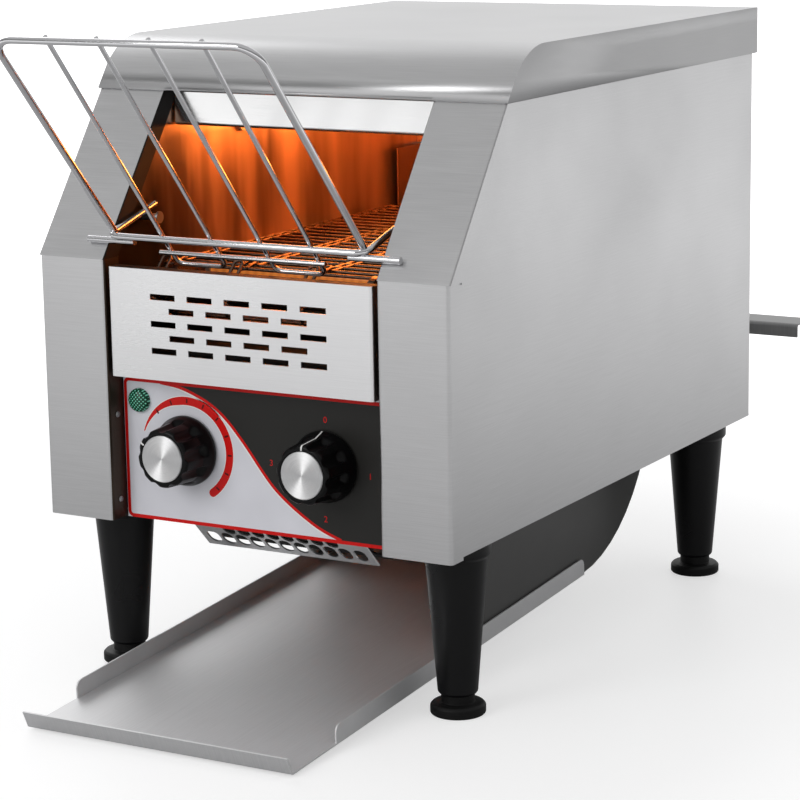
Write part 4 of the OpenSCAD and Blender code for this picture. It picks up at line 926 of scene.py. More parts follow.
def belt_tree():
    """Lays a wire at each point of a loop: straight across, with a hook round the next at each lane."""
    tree, given = start_tree(
        "Wire belt",
        ("Loop", "NodeSocketGeometry", None),
        ("Half width", "NodeSocketFloat", 84 * MM),
        ("Pitch", "NodeSocketFloat", 12.7 * MM),
        ("Diameter", "NodeSocketFloat", 2.2 * MM),
        ("Outer lane", "NodeSocketFloat", 80 * MM),
        ("Inner lane", "NodeSocketFloat", 27 * MM),
        ("Hook width", "NodeSocketFloat", 6 * MM),
        ("Finish", "NodeSocketMaterial", None),
    )
    half = add_node(tree, "ShaderNodeMath", {0: given["Diameter"], 1: 0.5}, operation="MULTIPLY")
    section = add_node(tree, "GeometryNodeCurvePrimitiveCircle", {"Resolution": 8, "Radius": half})
    ends = []
    for sign in (-1.0, 1.0):
        x = add_node(tree, "ShaderNodeMath", {0: given["Half width"], 1: sign}, operation="MULTIPLY")
        ends.append(add_node(tree, "ShaderNodeCombineXYZ", {"X": x}))
    straight = add_node(tree, "GeometryNodeCurvePrimitiveLine", {"Start": ends[0], "End": ends[1]})
    # A hook: a flat staple from this wire round the next
    reach = add_node(tree, "ShaderNodeMath", {0: given["Pitch"], 1: given["Diameter"]}, operation="ADD")
    staple = add_node(
        tree, "GeometryNodeCurvePrimitiveQuadrilateral", {"Width": given["Hook width"], "Height": reach}
    )
    rounded = add_node(
        tree, "GeometryNodeFilletCurve", {"Curve": staple, "Count": 3, "Radius": 2 * MM}, mode="POLY"
    )
    middle = add_node(tree, "ShaderNodeMath", {0: given["Pitch"], 1: 0.5}, operation="MULTIPLY")
    lines = add_node(tree, "GeometryNodeJoinGeometry", {0: straight})
    for lane, sign in (("Outer lane", -1.0), ("Inner lane", -1.0), ("Inner lane", 1.0), ("Outer lane", 1.0)):
        x = add_node(tree, "ShaderNodeMath", {0: given[lane], 1: sign}, operation="MULTIPLY")
        place = add_node(tree, "ShaderNodeCombineXYZ", {"X": x, "Y": middle})
        hook = add_node(tree, "GeometryNodeTransform", {"Geometry": rounded, "Translation": place})
        feed(tree, lines, {0: hook})
    wire = add_node(
        tree, "GeometryNodeCurveToMesh", {"Curve": lines, "Profile Curve": section, "Fill Caps": True}
    )
    curve = add_node(tree, "GeometryNodeMeshToCurve", {"Mesh": given["Loop"]})
    return end_tree(tree, set_along(tree, curve, wire, "YX", (1, 0, 0)), given["Finish"])


def chain_tree():
    """Sets a link at each point of a loop: a roller and two side plates with round ends."""
    tree, given = start_tree(
        "Roller chain",
        ("Loop", "NodeSocketGeometry", None),
        ("Pitch", "NodeSocketFloat", 6.35 * MM),
        ("Roller", "NodeSocketFloat", 3.3 * MM),
        ("Inner width", "NodeSocketFloat", 3.8 * MM),
        ("Plate", "NodeSocketFloat", 0.7 * MM),
        ("Finish", "NodeSocketMaterial", None),
    )
    pin_ends, plate_ends, plate_height, corner = 3 * MM, 3.6 * MM, 4.2 * MM, 2 * MM
    # Roller and pin, across the chain
    half = add_node(tree, "ShaderNodeMath", {0: given["Roller"], 1: 0.5}, operation="MULTIPLY")
    width = add_node(tree, "ShaderNodeMath", {0: given["Inner width"], 1: pin_ends}, operation="ADD")
    roller = add_node(tree, "GeometryNodeMeshCylinder", {"Vertices": 12, "Radius": half, "Depth": width})
    across = add_node(tree, "GeometryNodeTransform", {"Geometry": roller, "Rotation": (0, math.pi / 2, 0)})
    # Side plate: a rounded bar, longer than the pitch by its ends
    long_side = add_node(tree, "ShaderNodeMath", {0: given["Pitch"], 1: plate_ends}, operation="ADD")
    bar = add_node(
        tree, "GeometryNodeCurvePrimitiveQuadrilateral", {"Width": plate_height, "Height": long_side}
    )
    rounded = add_node(
        tree, "GeometryNodeFilletCurve", {"Curve": bar, "Count": 4, "Radius": corner}, mode="POLY"
    )
    filled = add_node(tree, "GeometryNodeFillCurve", {"Curve": rounded}, mode="NGONS")
    thick = add_node(tree, "GeometryNodeExtrudeMesh", {"Mesh": filled, "Offset Scale": given["Plate"]})
    closed = add_node(tree, "GeometryNodeFlipFaces", {"Mesh": filled})
    plate = add_node(tree, "GeometryNodeJoinGeometry", {0: thick})
    feed(tree, plate, {0: closed})
    middle = add_node(tree, "ShaderNodeMath", {0: given["Pitch"], 1: 0.5}, operation="MULTIPLY")
    link = add_node(tree, "GeometryNodeJoinGeometry", {0: across})
    for sign in (-1, 1):
        out = add_node(tree, "ShaderNodeMath", {0: given["Inner width"], 1: sign / 2}, operation="MULTIPLY")
        place = add_node(tree, "ShaderNodeCombineXYZ", {"X": out, "Y": middle})
        upright = (0, sign * math.pi / 2, 0)
        side = add_node(
            tree, "GeometryNodeTransform", {"Geometry": plate, "Translation": place, "Rotation": upright}
        )
        feed(tree, link, {0: side})
    curve = add_node(tree, "GeometryNodeMeshToCurve", {"Mesh": given["Loop"]})
    return end_tree(tree, set_along(tree, curve, link, "YX", (1, 0, 0)), given["Finish"])


def loop_points(low, high, pitch, teeth):
    """Places a pitch apart on a loop round two equal wheels, as pairs of along and across.

    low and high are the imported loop's limits along and across."""
    r = pitch / 2 / math.sin(math.pi / teeth)
    edge = (high[1] - low[1]) / 2 - r
    middle = (low[1] + high[1]) / 2
    first, last = low[0] + edge + r, high[0] - edge - r
    count = round((last - first) / pitch)
    run = [k * (last - first) / count for k in range(count + 1)]
    half_teeth = teeth // 2
    turn = [k * math.pi / half_teeth for k in range(1, half_teeth)]
    points = [(first + u, middle + r) for u in run]
    points += [(last + r * math.sin(a), middle + r * math.cos(a)) for a in turn]
    points += [(last - u, middle - r) for u in run]
    return points + [(first - r * math.sin(a), middle - r * math.cos(a)) for a in turn]


class TOASTER_OT_conveyor(bpy.types.Operator):
    """Lay the wire belt and the drive chain round their wheels."""

    bl_idname = "toaster.conveyor"
    bl_label = "Conveyor"

    def execute(self, context):
        sizes = context.scene.toaster_sizes
        low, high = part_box("conveyor_belt")
        loop = loop_points(low.yz, high.yz, sizes.rung_pitch, sizes.belt_teeth)
        seed = polyline_mesh("belt_wires", [[Vector((0, y, z)) for y, z in loop]], closed=True)
        inputs = {
            "Half width": high.x,
            "Pitch": sizes.rung_pitch,
            "Diameter": sizes.rung,
            "Outer lane": high.x - 4 * MM,
            "Finish": finish("Heat-tinted wire"),
        }
        belt = grown("belt_wires", belt_tree(), seed, inputs)
        shade_by_angle(belt)
        stand_for(belt, "conveyor_belt")

        low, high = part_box("drive_chain")
        x = (low.x + high.x) / 2
        loop = loop_points(low.zy, high.zy, sizes.chain_pitch, sizes.chain_teeth)
        seed = polyline_mesh("chain_links", [[Vector((x, y, z)) for z, y in loop]], closed=True)
        inputs = {"Pitch": sizes.chain_pitch, "Finish": finish("Turned steel")}
        chain = grown("chain_links", chain_tree(), seed, inputs)
        shade_by_angle(chain, 35)
        stand_for(chain, "drive_chain")
        return {"FINISHED"}


class TOASTER_OT_chute_and_tray(bpy.types.Operator):
    """Fold the return chute and the output tray."""

    bl_idname = "toaster.chute_and_tray"
    bl_label = "Chute and tray"

    def execute(self, context):
        for node, material in (("return_chute", "Baked chute coat"), ("output_tray", "Brushed tray steel")):
            stand_for(smooth_sheet(node, node + "_sheet", finish(material)), node)
        return {"FINISHED"}


# ---- Controls ----


def knob_profile(skirt, grip, tall, disc):
    """Radius and height of a knob's outside, from its back face to its disc."""
    return eased(
        [
            (0, 0.4 * MM),
            (9 * MM, 0.4 * MM),
            (9.2 * MM, 0),
            (skirt - MM, 0),
            (skirt, MM),
            (skirt, 3.2 * MM),
            (skirt - 1.2 * MM, 6.2 * MM),
            (grip + 0.6 * MM, 9.4 * MM),
            (grip, 11 * MM),
            (grip - MM, tall - 1.4 * MM),
            (grip - 2.2 * MM, tall - 0.2 * MM),
            (disc + 0.4 * MM, tall),
            (disc + 0.1 * MM, tall - MM),
            (0, tall - MM),
        ],
        0.8 * MM,
    )


def pointer_profile(skirt, grip, tall, disc):
    """Radius and height of a pointer line, down the front edge and the side of a knob."""
    return (
        (disc + 0.7 * MM, tall + 0.02 * MM),
        (grip - 2.1 * MM, tall - 0.1 * MM),
        (grip - 0.9 * MM, tall - 1.3 * MM),
        (grip + 0.08 * MM, 11 * MM),
        (grip + 0.7 * MM, 9.4 * MM),
        (skirt - 1.1 * MM, 6.3 * MM),
        (skirt + 0.06 * MM, 3.3 * MM),
    )


def spin_map(bm, middle, radius):
    """Maps a disc across by its turns and up by its rings."""
    spin = bm.loops.layers.uv.new("Spin")
    pole = 1e-6
    for face in bm.faces:
        corners = []
        for loop in face.loops:
            off = loop.vert.co - middle
            corners.append((loop, math.atan2(off.z, off.x) / math.tau, math.hypot(off.x, off.z)))
        known = [turn for _, turn, r in corners if r > pole]
        wraps = max(known) - min(known) > 0.5
        for loop, turn, r in corners:
            if r <= pole:
                turn = sum(t + (1 if wraps and t < 0 else 0) for t in known) / len(known)
            elif wraps and turn < 0:
                turn += 1
            loop[spin].uv = (turn, r / radius)


class TOASTER_OT_knobs(bpy.types.Operator):
    """Turn the knobs with their flutes, discs and pointer lines, and the lens of the lamp."""

    bl_idname = "toaster.knobs"
    bl_label = "Knobs and lens"

    def execute(self, context):
        sizes = context.scene.toaster_sizes
        for control, pointing in (("speed_knob", 150), ("selector_knob", 90)):
            low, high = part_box(control)
            disc_low, disc_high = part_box(control + "_disc")
            centre = (disc_low + disc_high) / 2
            # The grip ends in a rim round the disc
            grip, rim = 19.2 * MM, 0.6 * MM
            disc = (disc_high.x - disc_low.x) / 2 - rim
            form = ((high.x - low.x) / 2, grip, high.y - low.y, disc)
            start = math.radians(pointing)
            place = facing_front(Vector((centre.x, high.y, centre.z)))
            self.grip(control, place, form, start, sizes.flutes)
            self.pointer(control, place, form, start, sizes.pointer)
            front = Vector((centre.x, disc_high.y, centre.z))
            self.disc(control, front, disc, disc_high.y - disc_low.y)
        self.lens()
        return {"FINISHED"}

    def grip(self, control, place, form, start, flutes):
        """The knob's body with finger flutes, which run out on its skirt."""
        _, grip, _, disc = form
        # Cutter's radius, and how far from the knob's middle it goes round
        flute, away = 4.2 * MM, grip + 1.3 * MM
        run_out, full_depth, rim = 7.5 * MM, 11.5 * MM, 0.5 * MM

        def fluted(angle, radius, height):
            depth = min(1.0, max(0.0, (height - run_out) / (full_depth - run_out)))
            if not depth or radius < disc + rim:
                return radius
            turn = math.tau / flutes
            # The pointer stands between two flutes
            delta = (angle - start) % turn - turn / 2
            reach = flute**2 - (away * math.sin(delta)) ** 2
            if reach <= 0:
                return radius
            cut = away * math.cos(delta) - math.sqrt(reach)
            return radius - max(0.0, radius - cut) * depth

        bm = bmesh.new()
        turn_body(bm, knob_profile(*form), place, 180, fluted)
        stand_for(from_bmesh(control + "_grip", bm, finish("Phenolic knob"), 38), control)

    def pointer(self, control, place, form, start, width):
        """The pointer line, printed on the knob."""
        ahead = Vector((math.cos(start), math.sin(start), 0))
        side = Vector((-math.sin(start), math.cos(start), 0)) * width / 2
        proud, sunk = 0.03 * MM, 0.25 * MM
        bm = bmesh.new()
        rows = []
        for radius, height in pointer_profile(*form):
            outer = ahead * (radius + proud) + Vector((0, 0, height + proud))
            inner = ahead * (radius - sunk) + Vector((0, 0, height - sunk))
            corners = (outer - side, outer + side, inner + side, inner - side)
            rows.append([bm.verts.new(place @ p) for p in corners])
        for a, b in zip(rows, rows[1:]):
            for k in range(4):
                bm.faces.new((a[k], a[(k + 1) % 4], b[(k + 1) % 4], b[k]))
        bm.faces.new(rows[0])
        bm.faces.new(rows[-1])
        ride_with(from_bmesh(control + "_pointer", bm, finish("White pointer ink")), control)

    def disc(self, control, front, radius, thick):
        """The spun disc, with rings about its own middle."""
        edge = 0.5 * MM
        rim = [(0, 0), (radius, 0), (radius, thick - edge), (radius - edge, thick)]
        rings = [(radius * share, thick) for share in (0.8, 0.6, 0.4, 0.2, 0.06)]
        bm = bmesh.new()
        turn_body(bm, rim + rings + [(0, thick)], facing_front(front))
        spin_map(bm, front, radius)
        stand_for(from_bmesh(control + "_spun_disc", bm, finish("Spun aluminium"), 30), control + "_disc")

    def lens(self):
        """The lens of the lamp, a low dome."""
        low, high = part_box("indicator_lens")
        centre = (low + high) / 2
        r, tall, edge = (high.x - low.x) / 2, high.y - low.y, 1.6 * MM
        dome = [(0, 0), (r, 0), (r, edge)]
        dome += [(r * math.cos(a), edge + (tall - edge) * math.sin(a)) for a in (0.25, 0.5, 0.75, 1.0, 1.3)]
        bm = bmesh.new()
        turn_body(bm, dome + [(0, tall)], facing_front(Vector((centre.x, high.y, centre.z))), 64)
        stand_for(from_bmesh("lamp_lens_dome", bm, finish("Green lens"), 40), "indicator_lens")


# ---- Overlay print ----

# Height of one layer of print above the next
LAYER = 0.035 * MM


def print_solid(name, bm, layer, material):
    """A flat piece of print, drawn in X and Z, as a thin closed sheet on the overlay."""
    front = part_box("control_overlay")[0].y
    for vert in bm.verts:
        vert.co.y = front - layer * LAYER
    bmesh.ops.recalc_face_normals(bm, faces=bm.faces)
    for face in bm.faces:
        if face.normal.y > 0:
            face.normal_flip()
    result = bmesh.ops.extrude_face_region(bm, geom=bm.faces[:])
    for item in result["geom"]:
        if isinstance(item, bmesh.types.BMVert):
            item.co.y -= LAYER * 0.8
    ride_with(from_bmesh(name, bm, material), "control_overlay")


def ribbon(points, widths, closed=False):
    """A flat band along points in X and Z, with its own width at each."""
    bm = bmesh.new()
    rows = []
    n = len(points)
    for k, point in enumerate(points):
        before = points[k - 1] if k or closed else point
        after = points[(k + 1) % n] if k < n - 1 or closed else point
        along = (after - before).normalized()
        side = Vector((-along.z, 0, along.x)) * widths[k] / 2
        rows.append((bm.verts.new(point + side), bm.verts.new(point - side)))
    pairs = list(zip(rows, rows[1:])) + ([(rows[-1], rows[0])] if closed else [])
    for a, b in pairs:
        bm.faces.new((a[0], b[0], b[1], a[1]))
    return bm


def on_circle(centre, radius, angle):
    """A point in X and Z on a circle."""
    return centre + Vector((radius * math.cos(angle), 0, radius * math.sin(angle)))


def rounded_rectangle(left, right, bottom, top, radius):
    """Points in X and Z round a rectangle with round corners."""
    steps = 8
    points = []
    for x, z, start in (
        (right - radius, top - radius, 0),
        (left + radius, top - radius, 90),
        (left + radius, bottom + radius, 180),
        (right - radius, bottom + radius, 270),
    ):
        for k in range(steps + 1):
            points.append(on_circle(Vector((x, 0, z)), radius, math.radians(start + 90 * k / steps)))
    return points


def smooth_path(knots):
    """A curve through points in X and Z."""
    steps = 10
    points = [Vector((x * MM, 0, z * MM)) for x, z in knots]
    points = [points[0] * 2 - points[1]] + points + [points[-1] * 2 - points[-2]]
    result = []
    for a, b, c, d in zip(points, points[1:], points[2:], points[3:]):
        square, cube = 2 * a - 5 * b + 4 * c - d, 3 * b - a - 3 * c + d
        for k in range(steps):
            t = k / steps
            result.append(0.5 * (2 * b + (c - a) * t + square * t**2 + cube * t**3))
    return result + [points[-2]]


def mark_tree():
    """Sets a short upright mark at each point of an arc, pointing away from its middle."""
    tree, given = start_tree(
        "Dial marks",
        ("Arc", "NodeSocketGeometry", None),
        ("Radius", "NodeSocketFloat", 30.6 * MM),
        ("Start", "NodeSocketFloat", 0.0),
        ("Sweep", "NodeSocketFloat", math.pi),
        ("Marks", "NodeSocketInt", 9),
        ("Length", "NodeSocketFloat", 2 * MM),
        ("Width", "NodeSocketFloat", 0.6 * MM),
        ("Centre", "NodeSocketVector", None),
        ("Finish", "NodeSocketMaterial", None),
    )
    angles = {"Start Angle": given["Start"], "Sweep Angle": given["Sweep"]}
    arc = add_node(
        tree,
        "GeometryNodeCurveArc",
        {"Resolution": given["Marks"], "Radius": given["Radius"], **angles},
        mode="RADIUS",
    )
    thickness = 0.02 * MM
    size = add_node(tree, "ShaderNodeCombineXYZ", {"X": given["Width"], "Y": given["Length"], "Z": thickness})
    mark = add_node(tree, "GeometryNodeMeshCube", {"Size": size})
    placed = set_along(tree, arc, mark, "XZ", (0, 0, 1))
    upright = {"Rotation": (math.pi / 2, 0, 0), "Translation": given["Centre"]}
    turned = add_node(tree, "GeometryNodeTransform", {"Geometry": placed, **upright})
    return end_tree(tree, turned, given["Finish"])


class TOASTER_OT_overlay(bpy.types.Operator):
    """Print the overlay: its border, its dark field, the scale and the numbers."""

    bl_idname = "toaster.overlay"
    bl_label = "Overlay print"

    # Edge of the dark field, in mm: off the top border, down between the knobs, onto the bottom border
    WAVE = (
        (-68, 193.2), (-53, 191.2), (-38.5, 186.2), (-27.9, 180.6), (-19.2, 173.6), (-11.2, 165),
        (-3.4, 155.6), (4.9, 144.9), (13.5, 135), (23, 127), (34, 119.5), (46, 112.8), (60, 107.6),
    )
    # Plain numbers round the right knob, and their places in mm
    NUMBERS = (("0", 50.5, 180.6), ("1", 81, 149), ("2", 49.5, 119.5), ("3", 11.8, 150.4))

    def execute(self, context):
        film = smooth_sheet("control_overlay", "overlay_film", finish("Overlay film"))
        stand_for(film, "control_overlay")
        self.field(context.scene.toaster_sizes.border)
        self.scale()
        for text, x, z in self.NUMBERS:
            self.number(text, x * MM, z * MM)
        return {"FINISHED"}

    def field(self, width):
        """The border, the dark field and its two-tone wave."""
        red, white = finish("Red overlay ink"), finish("White pointer ink")
        low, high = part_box("control_overlay")
        inset, corner = 0.3 * MM + width / 2, 3 * MM
        left, right, bottom, top = low.x + inset, high.x - inset, low.z + width / 2, 193.6 * MM
        border = rounded_rectangle(left, right, bottom, top, corner)
        print_solid("overlay_border", ribbon(border, [width] * len(border), True), 3, red)

        edge = smooth_path(self.WAVE)
        # The field leaves a hole for the right knob's spindle
        disc_low, disc_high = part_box("selector_knob_disc")
        centre, hole, steps = (disc_low + disc_high) / 2, 8 * MM, 48
        centre.y = 0
        around = [on_circle(centre, hole, math.tau * k / steps) for k in range(steps)]
        outline = edge + [Vector((right, 0, bottom)), Vector((right, 0, top)), Vector((edge[0].x, 0, top))]
        bm = bmesh.new()
        for loop in (outline, around):
            verts = [bm.verts.new(p) for p in loop]
            for k, vert in enumerate(verts):
                bm.edges.new((vert, verts[(k + 1) % len(verts)]))
        bmesh.ops.triangle_fill(bm, use_beauty=True, edges=bm.edges[:])
        print_solid("overlay_dark_field", bm, 1, finish("Dark overlay ink"))
        wave, halo = 1.9 * MM, 1.3 * MM
        print_solid("overlay_wave", ribbon(edge, [wave] * len(edge)), 2, red)
        shifted = [p + Vector((-1.1 * MM, 0, -0.9 * MM)) for p in edge[6:-6]]
        print_solid("overlay_wave_edge", ribbon(shifted, [halo] * len(shifted)), 1, white)

    def scale(self):
        """The tapered scale round the left knob, with its marks."""
        disc_low, disc_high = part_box("speed_knob_disc")
        centre = (disc_low + disc_high) / 2
        first, last, steps = 164.0, -55.0, 72
        full, outside, rim = 5.2 * MM, 33.4 * MM, 1.1 * MM
        points, widths = [], []
        for k in range(steps + 1):
            width = full * min(1.0, 0.14 + 3 * k / steps)
            angle = math.radians(first + (last - first) * k / steps)
            points.append(on_circle(centre, outside - width / 2, angle))
            widths.append(width)
        # Round end
        ahead = Vector((math.sin(angle), 0, -math.cos(angle)))
        tip = points[-1]
        for k in range(1, 7):
            a = math.pi / 2 * k / 6.5
            points.append(tip + ahead * width / 2 * math.sin(a))
            widths.append(width * math.cos(a))
        print_solid("overlay_scale", ribbon(points, widths), 2, finish("Red overlay ink"))
        wider = ribbon(points, [w + rim for w in widths])
        print_solid("overlay_scale_edge", wider, 1, finish("White pointer ink"))
        marks_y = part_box("control_overlay")[0].y - 3.9 * LAYER
        inputs = {
            "Radius": 30.9 * MM,
            "Start": math.radians(-46),
            "Sweep": math.radians(180),
            "Marks": 9,
            "Length": 2.8 * MM,
            "Width": 1.1 * MM,
            "Centre": (centre.x, marks_y, centre.z),
            "Finish": finish("Dark mark ink"),
        }
        seed = polyline_mesh("overlay_scale_marks", [[Vector((0, 0, 0)), Vector((0, 0, MM))]])
        ride_with(grown("overlay_scale_marks", mark_tree(), seed, inputs), "control_overlay")

    def number(self, text, x, z):
        """A plain printed number, with its middle at x and z."""
        curve = bpy.data.curves.new(f"number_{text}", "FONT")
        curve.body = text
        curve.size = 5.4 * MM
        curve.align_x, curve.align_y = "CENTER", "CENTER"
        letter = bpy.data.objects.new(curve.name, curve)
        bpy.context.scene.collection.objects.link(letter)
        depsgraph = bpy.context.evaluated_depsgraph_get()
        mesh = bpy.data.meshes.new_from_object(letter.evaluated_get(depsgraph), depsgraph=depsgraph)
        bpy.data.objects.remove(letter)
        mesh.transform(Matrix.Translation((x, 0, z)) @ Matrix.Rotation(math.pi / 2, 4, "X"))
        bm = bmesh.new()
        bm.from_mesh(mesh)
        bmesh.ops.remove_doubles(bm, verts=bm.verts, dist=0.001 * MM)
        print_solid(f"overlay_number_{text}", bm, 3, finish("Red overlay ink"))


# ---- Legs ----


class TOASTER_OT_legs(bpy.types.Operator):
    """Turn the four legs and their screw feet."""

    bl_idname = "toaster.legs"
    bl_label = "Legs and feet"

    def execute(self, context):
        for corner in ("front_left", "front_right", "rear_left", "rear_right"):
            low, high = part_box("leg_" + corner)
            place = Matrix.Translation(((low.x + high.x) / 2, (low.y + high.y) / 2, 0))
            self.leg(corner, place, low, high)
            self.foot(corner, place)
        return {"FINISHED"}

    def leg(self, corner, place, low, high):
        """A tapered leg with a collar under the base plate and a bore for its foot."""
        r, end, bore, stem = (high.x - low.x) / 2, 12.3 * MM, 4.05 * MM, 7.5 * MM
        bore_top, collar_top = low.z + 42 * MM, 108 * MM
        outside = [
            (bore, bore_top),
            (bore, low.z),
            (end - MM, low.z),
            (end, low.z + 1.4 * MM),
            (r - 2.4 * MM, collar_top - 10 * MM),
            (r - 0.5 * MM, collar_top - 8 * MM),
            (r, collar_top - 7 * MM),
            (r, collar_top),
            (stem, collar_top),
            (stem, high.z),
            (0, high.z),
        ]
        bm = bmesh.new()
        turn_body(bm, [(0, bore_top)] + eased(outside, 0.6 * MM), place)
        stand_for(from_bmesh(f"leg_{corner}_cone", bm, finish("Glass-filled nylon"), 40), "leg_" + corner)

    def foot(self, corner, place):
        """A rubber foot on its screw."""
        low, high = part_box("foot_" + corner)
        r, hub, hub_top = (high.x - low.x) / 2, 10.3 * MM, low.z + 12.5 * MM
        pad = [
            (0, low.z),
            (r - MM, low.z),
            (r, low.z + MM),
            (r, low.z + 5.5 * MM),
            (r - 1.5 * MM, low.z + 7.1 * MM),
            (r - 4.5 * MM, low.z + 7.5 * MM),
            (hub, low.z + 7.5 * MM),
            (hub, hub_top),
        ]
        crest, root, half_pitch, turns = 4 * MM, 3.5 * MM, 0.6 * MM, 29
        thread = [(root if k % 2 else crest, hub_top + k * half_pitch) for k in range(2 * turns)]
        bm = bmesh.new()
        turn_body(bm, eased(pad, 0.5 * MM) + thread + [(0, high.z)], place, 72)
        stand_for(from_bmesh(f"foot_{corner}_pad", bm, finish("Foot rubber"), 35), "foot_" + corner)


# ---- Screws ----


def screw_tree():
    """Sets a domed head with a cross recess at each point, along the point's own axis and of its own size."""
    tree, given = start_tree(
        "Screw heads",
        ("Places", "NodeSocketGeometry", None),
        ("Dome", "NodeSocketFloat", 0.33),
        ("Recess", "NodeSocketFloat", 0.62),
        ("Finish", "NodeSocketMaterial", None),
    )
    # A head one unit across: a low dome cut flat below
    ball = add_node(tree, "GeometryNodeMeshUVSphere", {"Segments": 20, "Rings": 12, "Radius": 0.5})
    twice = add_node(tree, "ShaderNodeMath", {0: given["Dome"], 1: 2.0}, operation="MULTIPLY")
    flat = add_node(tree, "ShaderNodeCombineXYZ", {"X": 1.0, "Y": 1.0, "Z": twice})
    dome = add_node(tree, "GeometryNodeTransform", {"Geometry": ball, "Scale": flat})
    cut = add_node(tree, "GeometryNodeMeshBoolean", {"Mesh 1": dome}, operation="DIFFERENCE")
    # The two arms aren't equally tall, so that no two of their faces are in one plane
    arm, raise_arms = 0.13, (0, 0, 0.38)
    for wide, deep, tall in ((arm, given["Recess"], 0.4), (given["Recess"], arm, 0.42)):
        box = add_node(tree, "ShaderNodeCombineXYZ", {"X": wide, "Y": deep, "Z": tall})
        bar = add_node(tree, "GeometryNodeMeshCube", {"Size": box})
        raised = add_node(tree, "GeometryNodeTransform", {"Geometry": bar, "Translation": raise_arms})
        feed(tree, cut, {"Mesh 2": raised})
    # The dome is cut just above its widest ring, so that no sliver of it stays
    base = add_node(tree, "GeometryNodeMeshCube", {"Size": (1.2, 1.2, 1.0)})
    below = add_node(tree, "GeometryNodeTransform", {"Geometry": base, "Translation": (0, 0, -0.48)})
    feed(tree, cut, {"Mesh 2": below})
    head = add_node(tree, "GeometryNodeMergeByDistance", {"Geometry": cut, "Distance": 0.002})
    axis = add_node(tree, "GeometryNodeInputNamedAttribute", {"Name": "axis"}, data_type="FLOAT_VECTOR")
    size = add_node(tree, "GeometryNodeInputNamedAttribute", {"Name": "size"}, data_type="FLOAT")
    turn = add_node(tree, "FunctionNodeAlignRotationToVector", {"Vector": axis}, axis="Z")
    placed = add_node(
        tree,
        "GeometryNodeInstanceOnPoints",
        {"Points": given["Places"], "Instance": head, "Rotation": turn, "Scale": size},
    )
    return end_tree(tree, placed, given["Finish"])


class TOASTER_OT_screws(bpy.types.Operator):
    """Drive the screws of the back, the rear bar and the control panel."""

    bl_idname = "toaster.screws"
    bl_label = "Screws"

    def execute(self, context):
        # Places across, behind the stile face and up in mm, the way they face, and their heads' width
        back = Vector((0, 1, 0))
        rows = [((x, 448, z), back, 6.4) for x in (-136, 136) for z in (120, 237.5, 355)]
        rows += [((x, 449.2, 148), back, 6.4) for x in (-78, 78)]
        for side in (-1, 1):
            rows += [((side * 96, 9, z), Vector((-side, 0, 0)), 4) for z in (118, 172)]
        mesh = polyline_mesh("screw_heads", [])
        mesh.vertices.add(len(rows))
        mesh.attributes.new("axis", "FLOAT_VECTOR", "POINT")
        mesh.attributes.new("size", "FLOAT", "POINT")
        for k, (place, direction, width) in enumerate(rows):
            mesh.vertices[k].co = at(*place)
            mesh.attributes["axis"].data[k].vector = direction
            mesh.attributes["size"].data[k].value = width * MM
        piece = grown("screw_heads", screw_tree(), mesh, {"Finish": finish("Turned steel")})
        shade_by_angle(piece, 35)
        stand_for(piece, "cover_screws")
        return {"FINISHED"}


# ---- Stage ----


def camera_rays(tree):
    """One where the camera looks straight, and one where it looks straight or by gloss or glass."""
    rays = add_node(tree, "ShaderNodeLightPath").outputs
    direct = rays["Is Camera Ray"]
    gloss = add_node(tree, "ShaderNodeMath", {0: direct, 1: rays["Is Glossy Ray"]}, operation="MAXIMUM")
    seen = add_node(tree, "ShaderNodeMath", {0: gloss, 1: rays["Is Transmission Ray"]}, operation="MAXIMUM")
    return direct, seen


def soft_light(name, place, size, power):
    """A large square lamp that faces the middle of the toaster."""
    lamp = bpy.data.lights.new(name, "AREA")
    lamp.shape, lamp.size, lamp.energy = "SQUARE", size, power
    rig = bpy.data.objects.new(name, lamp)
    bpy.context.scene.collection.objects.link(rig)
    rig.location = place
    aim = Vector((0, 0, 0.2)) - rig.location
    rig.rotation_euler = aim.to_track_quat("-Z", "Y").to_euler()


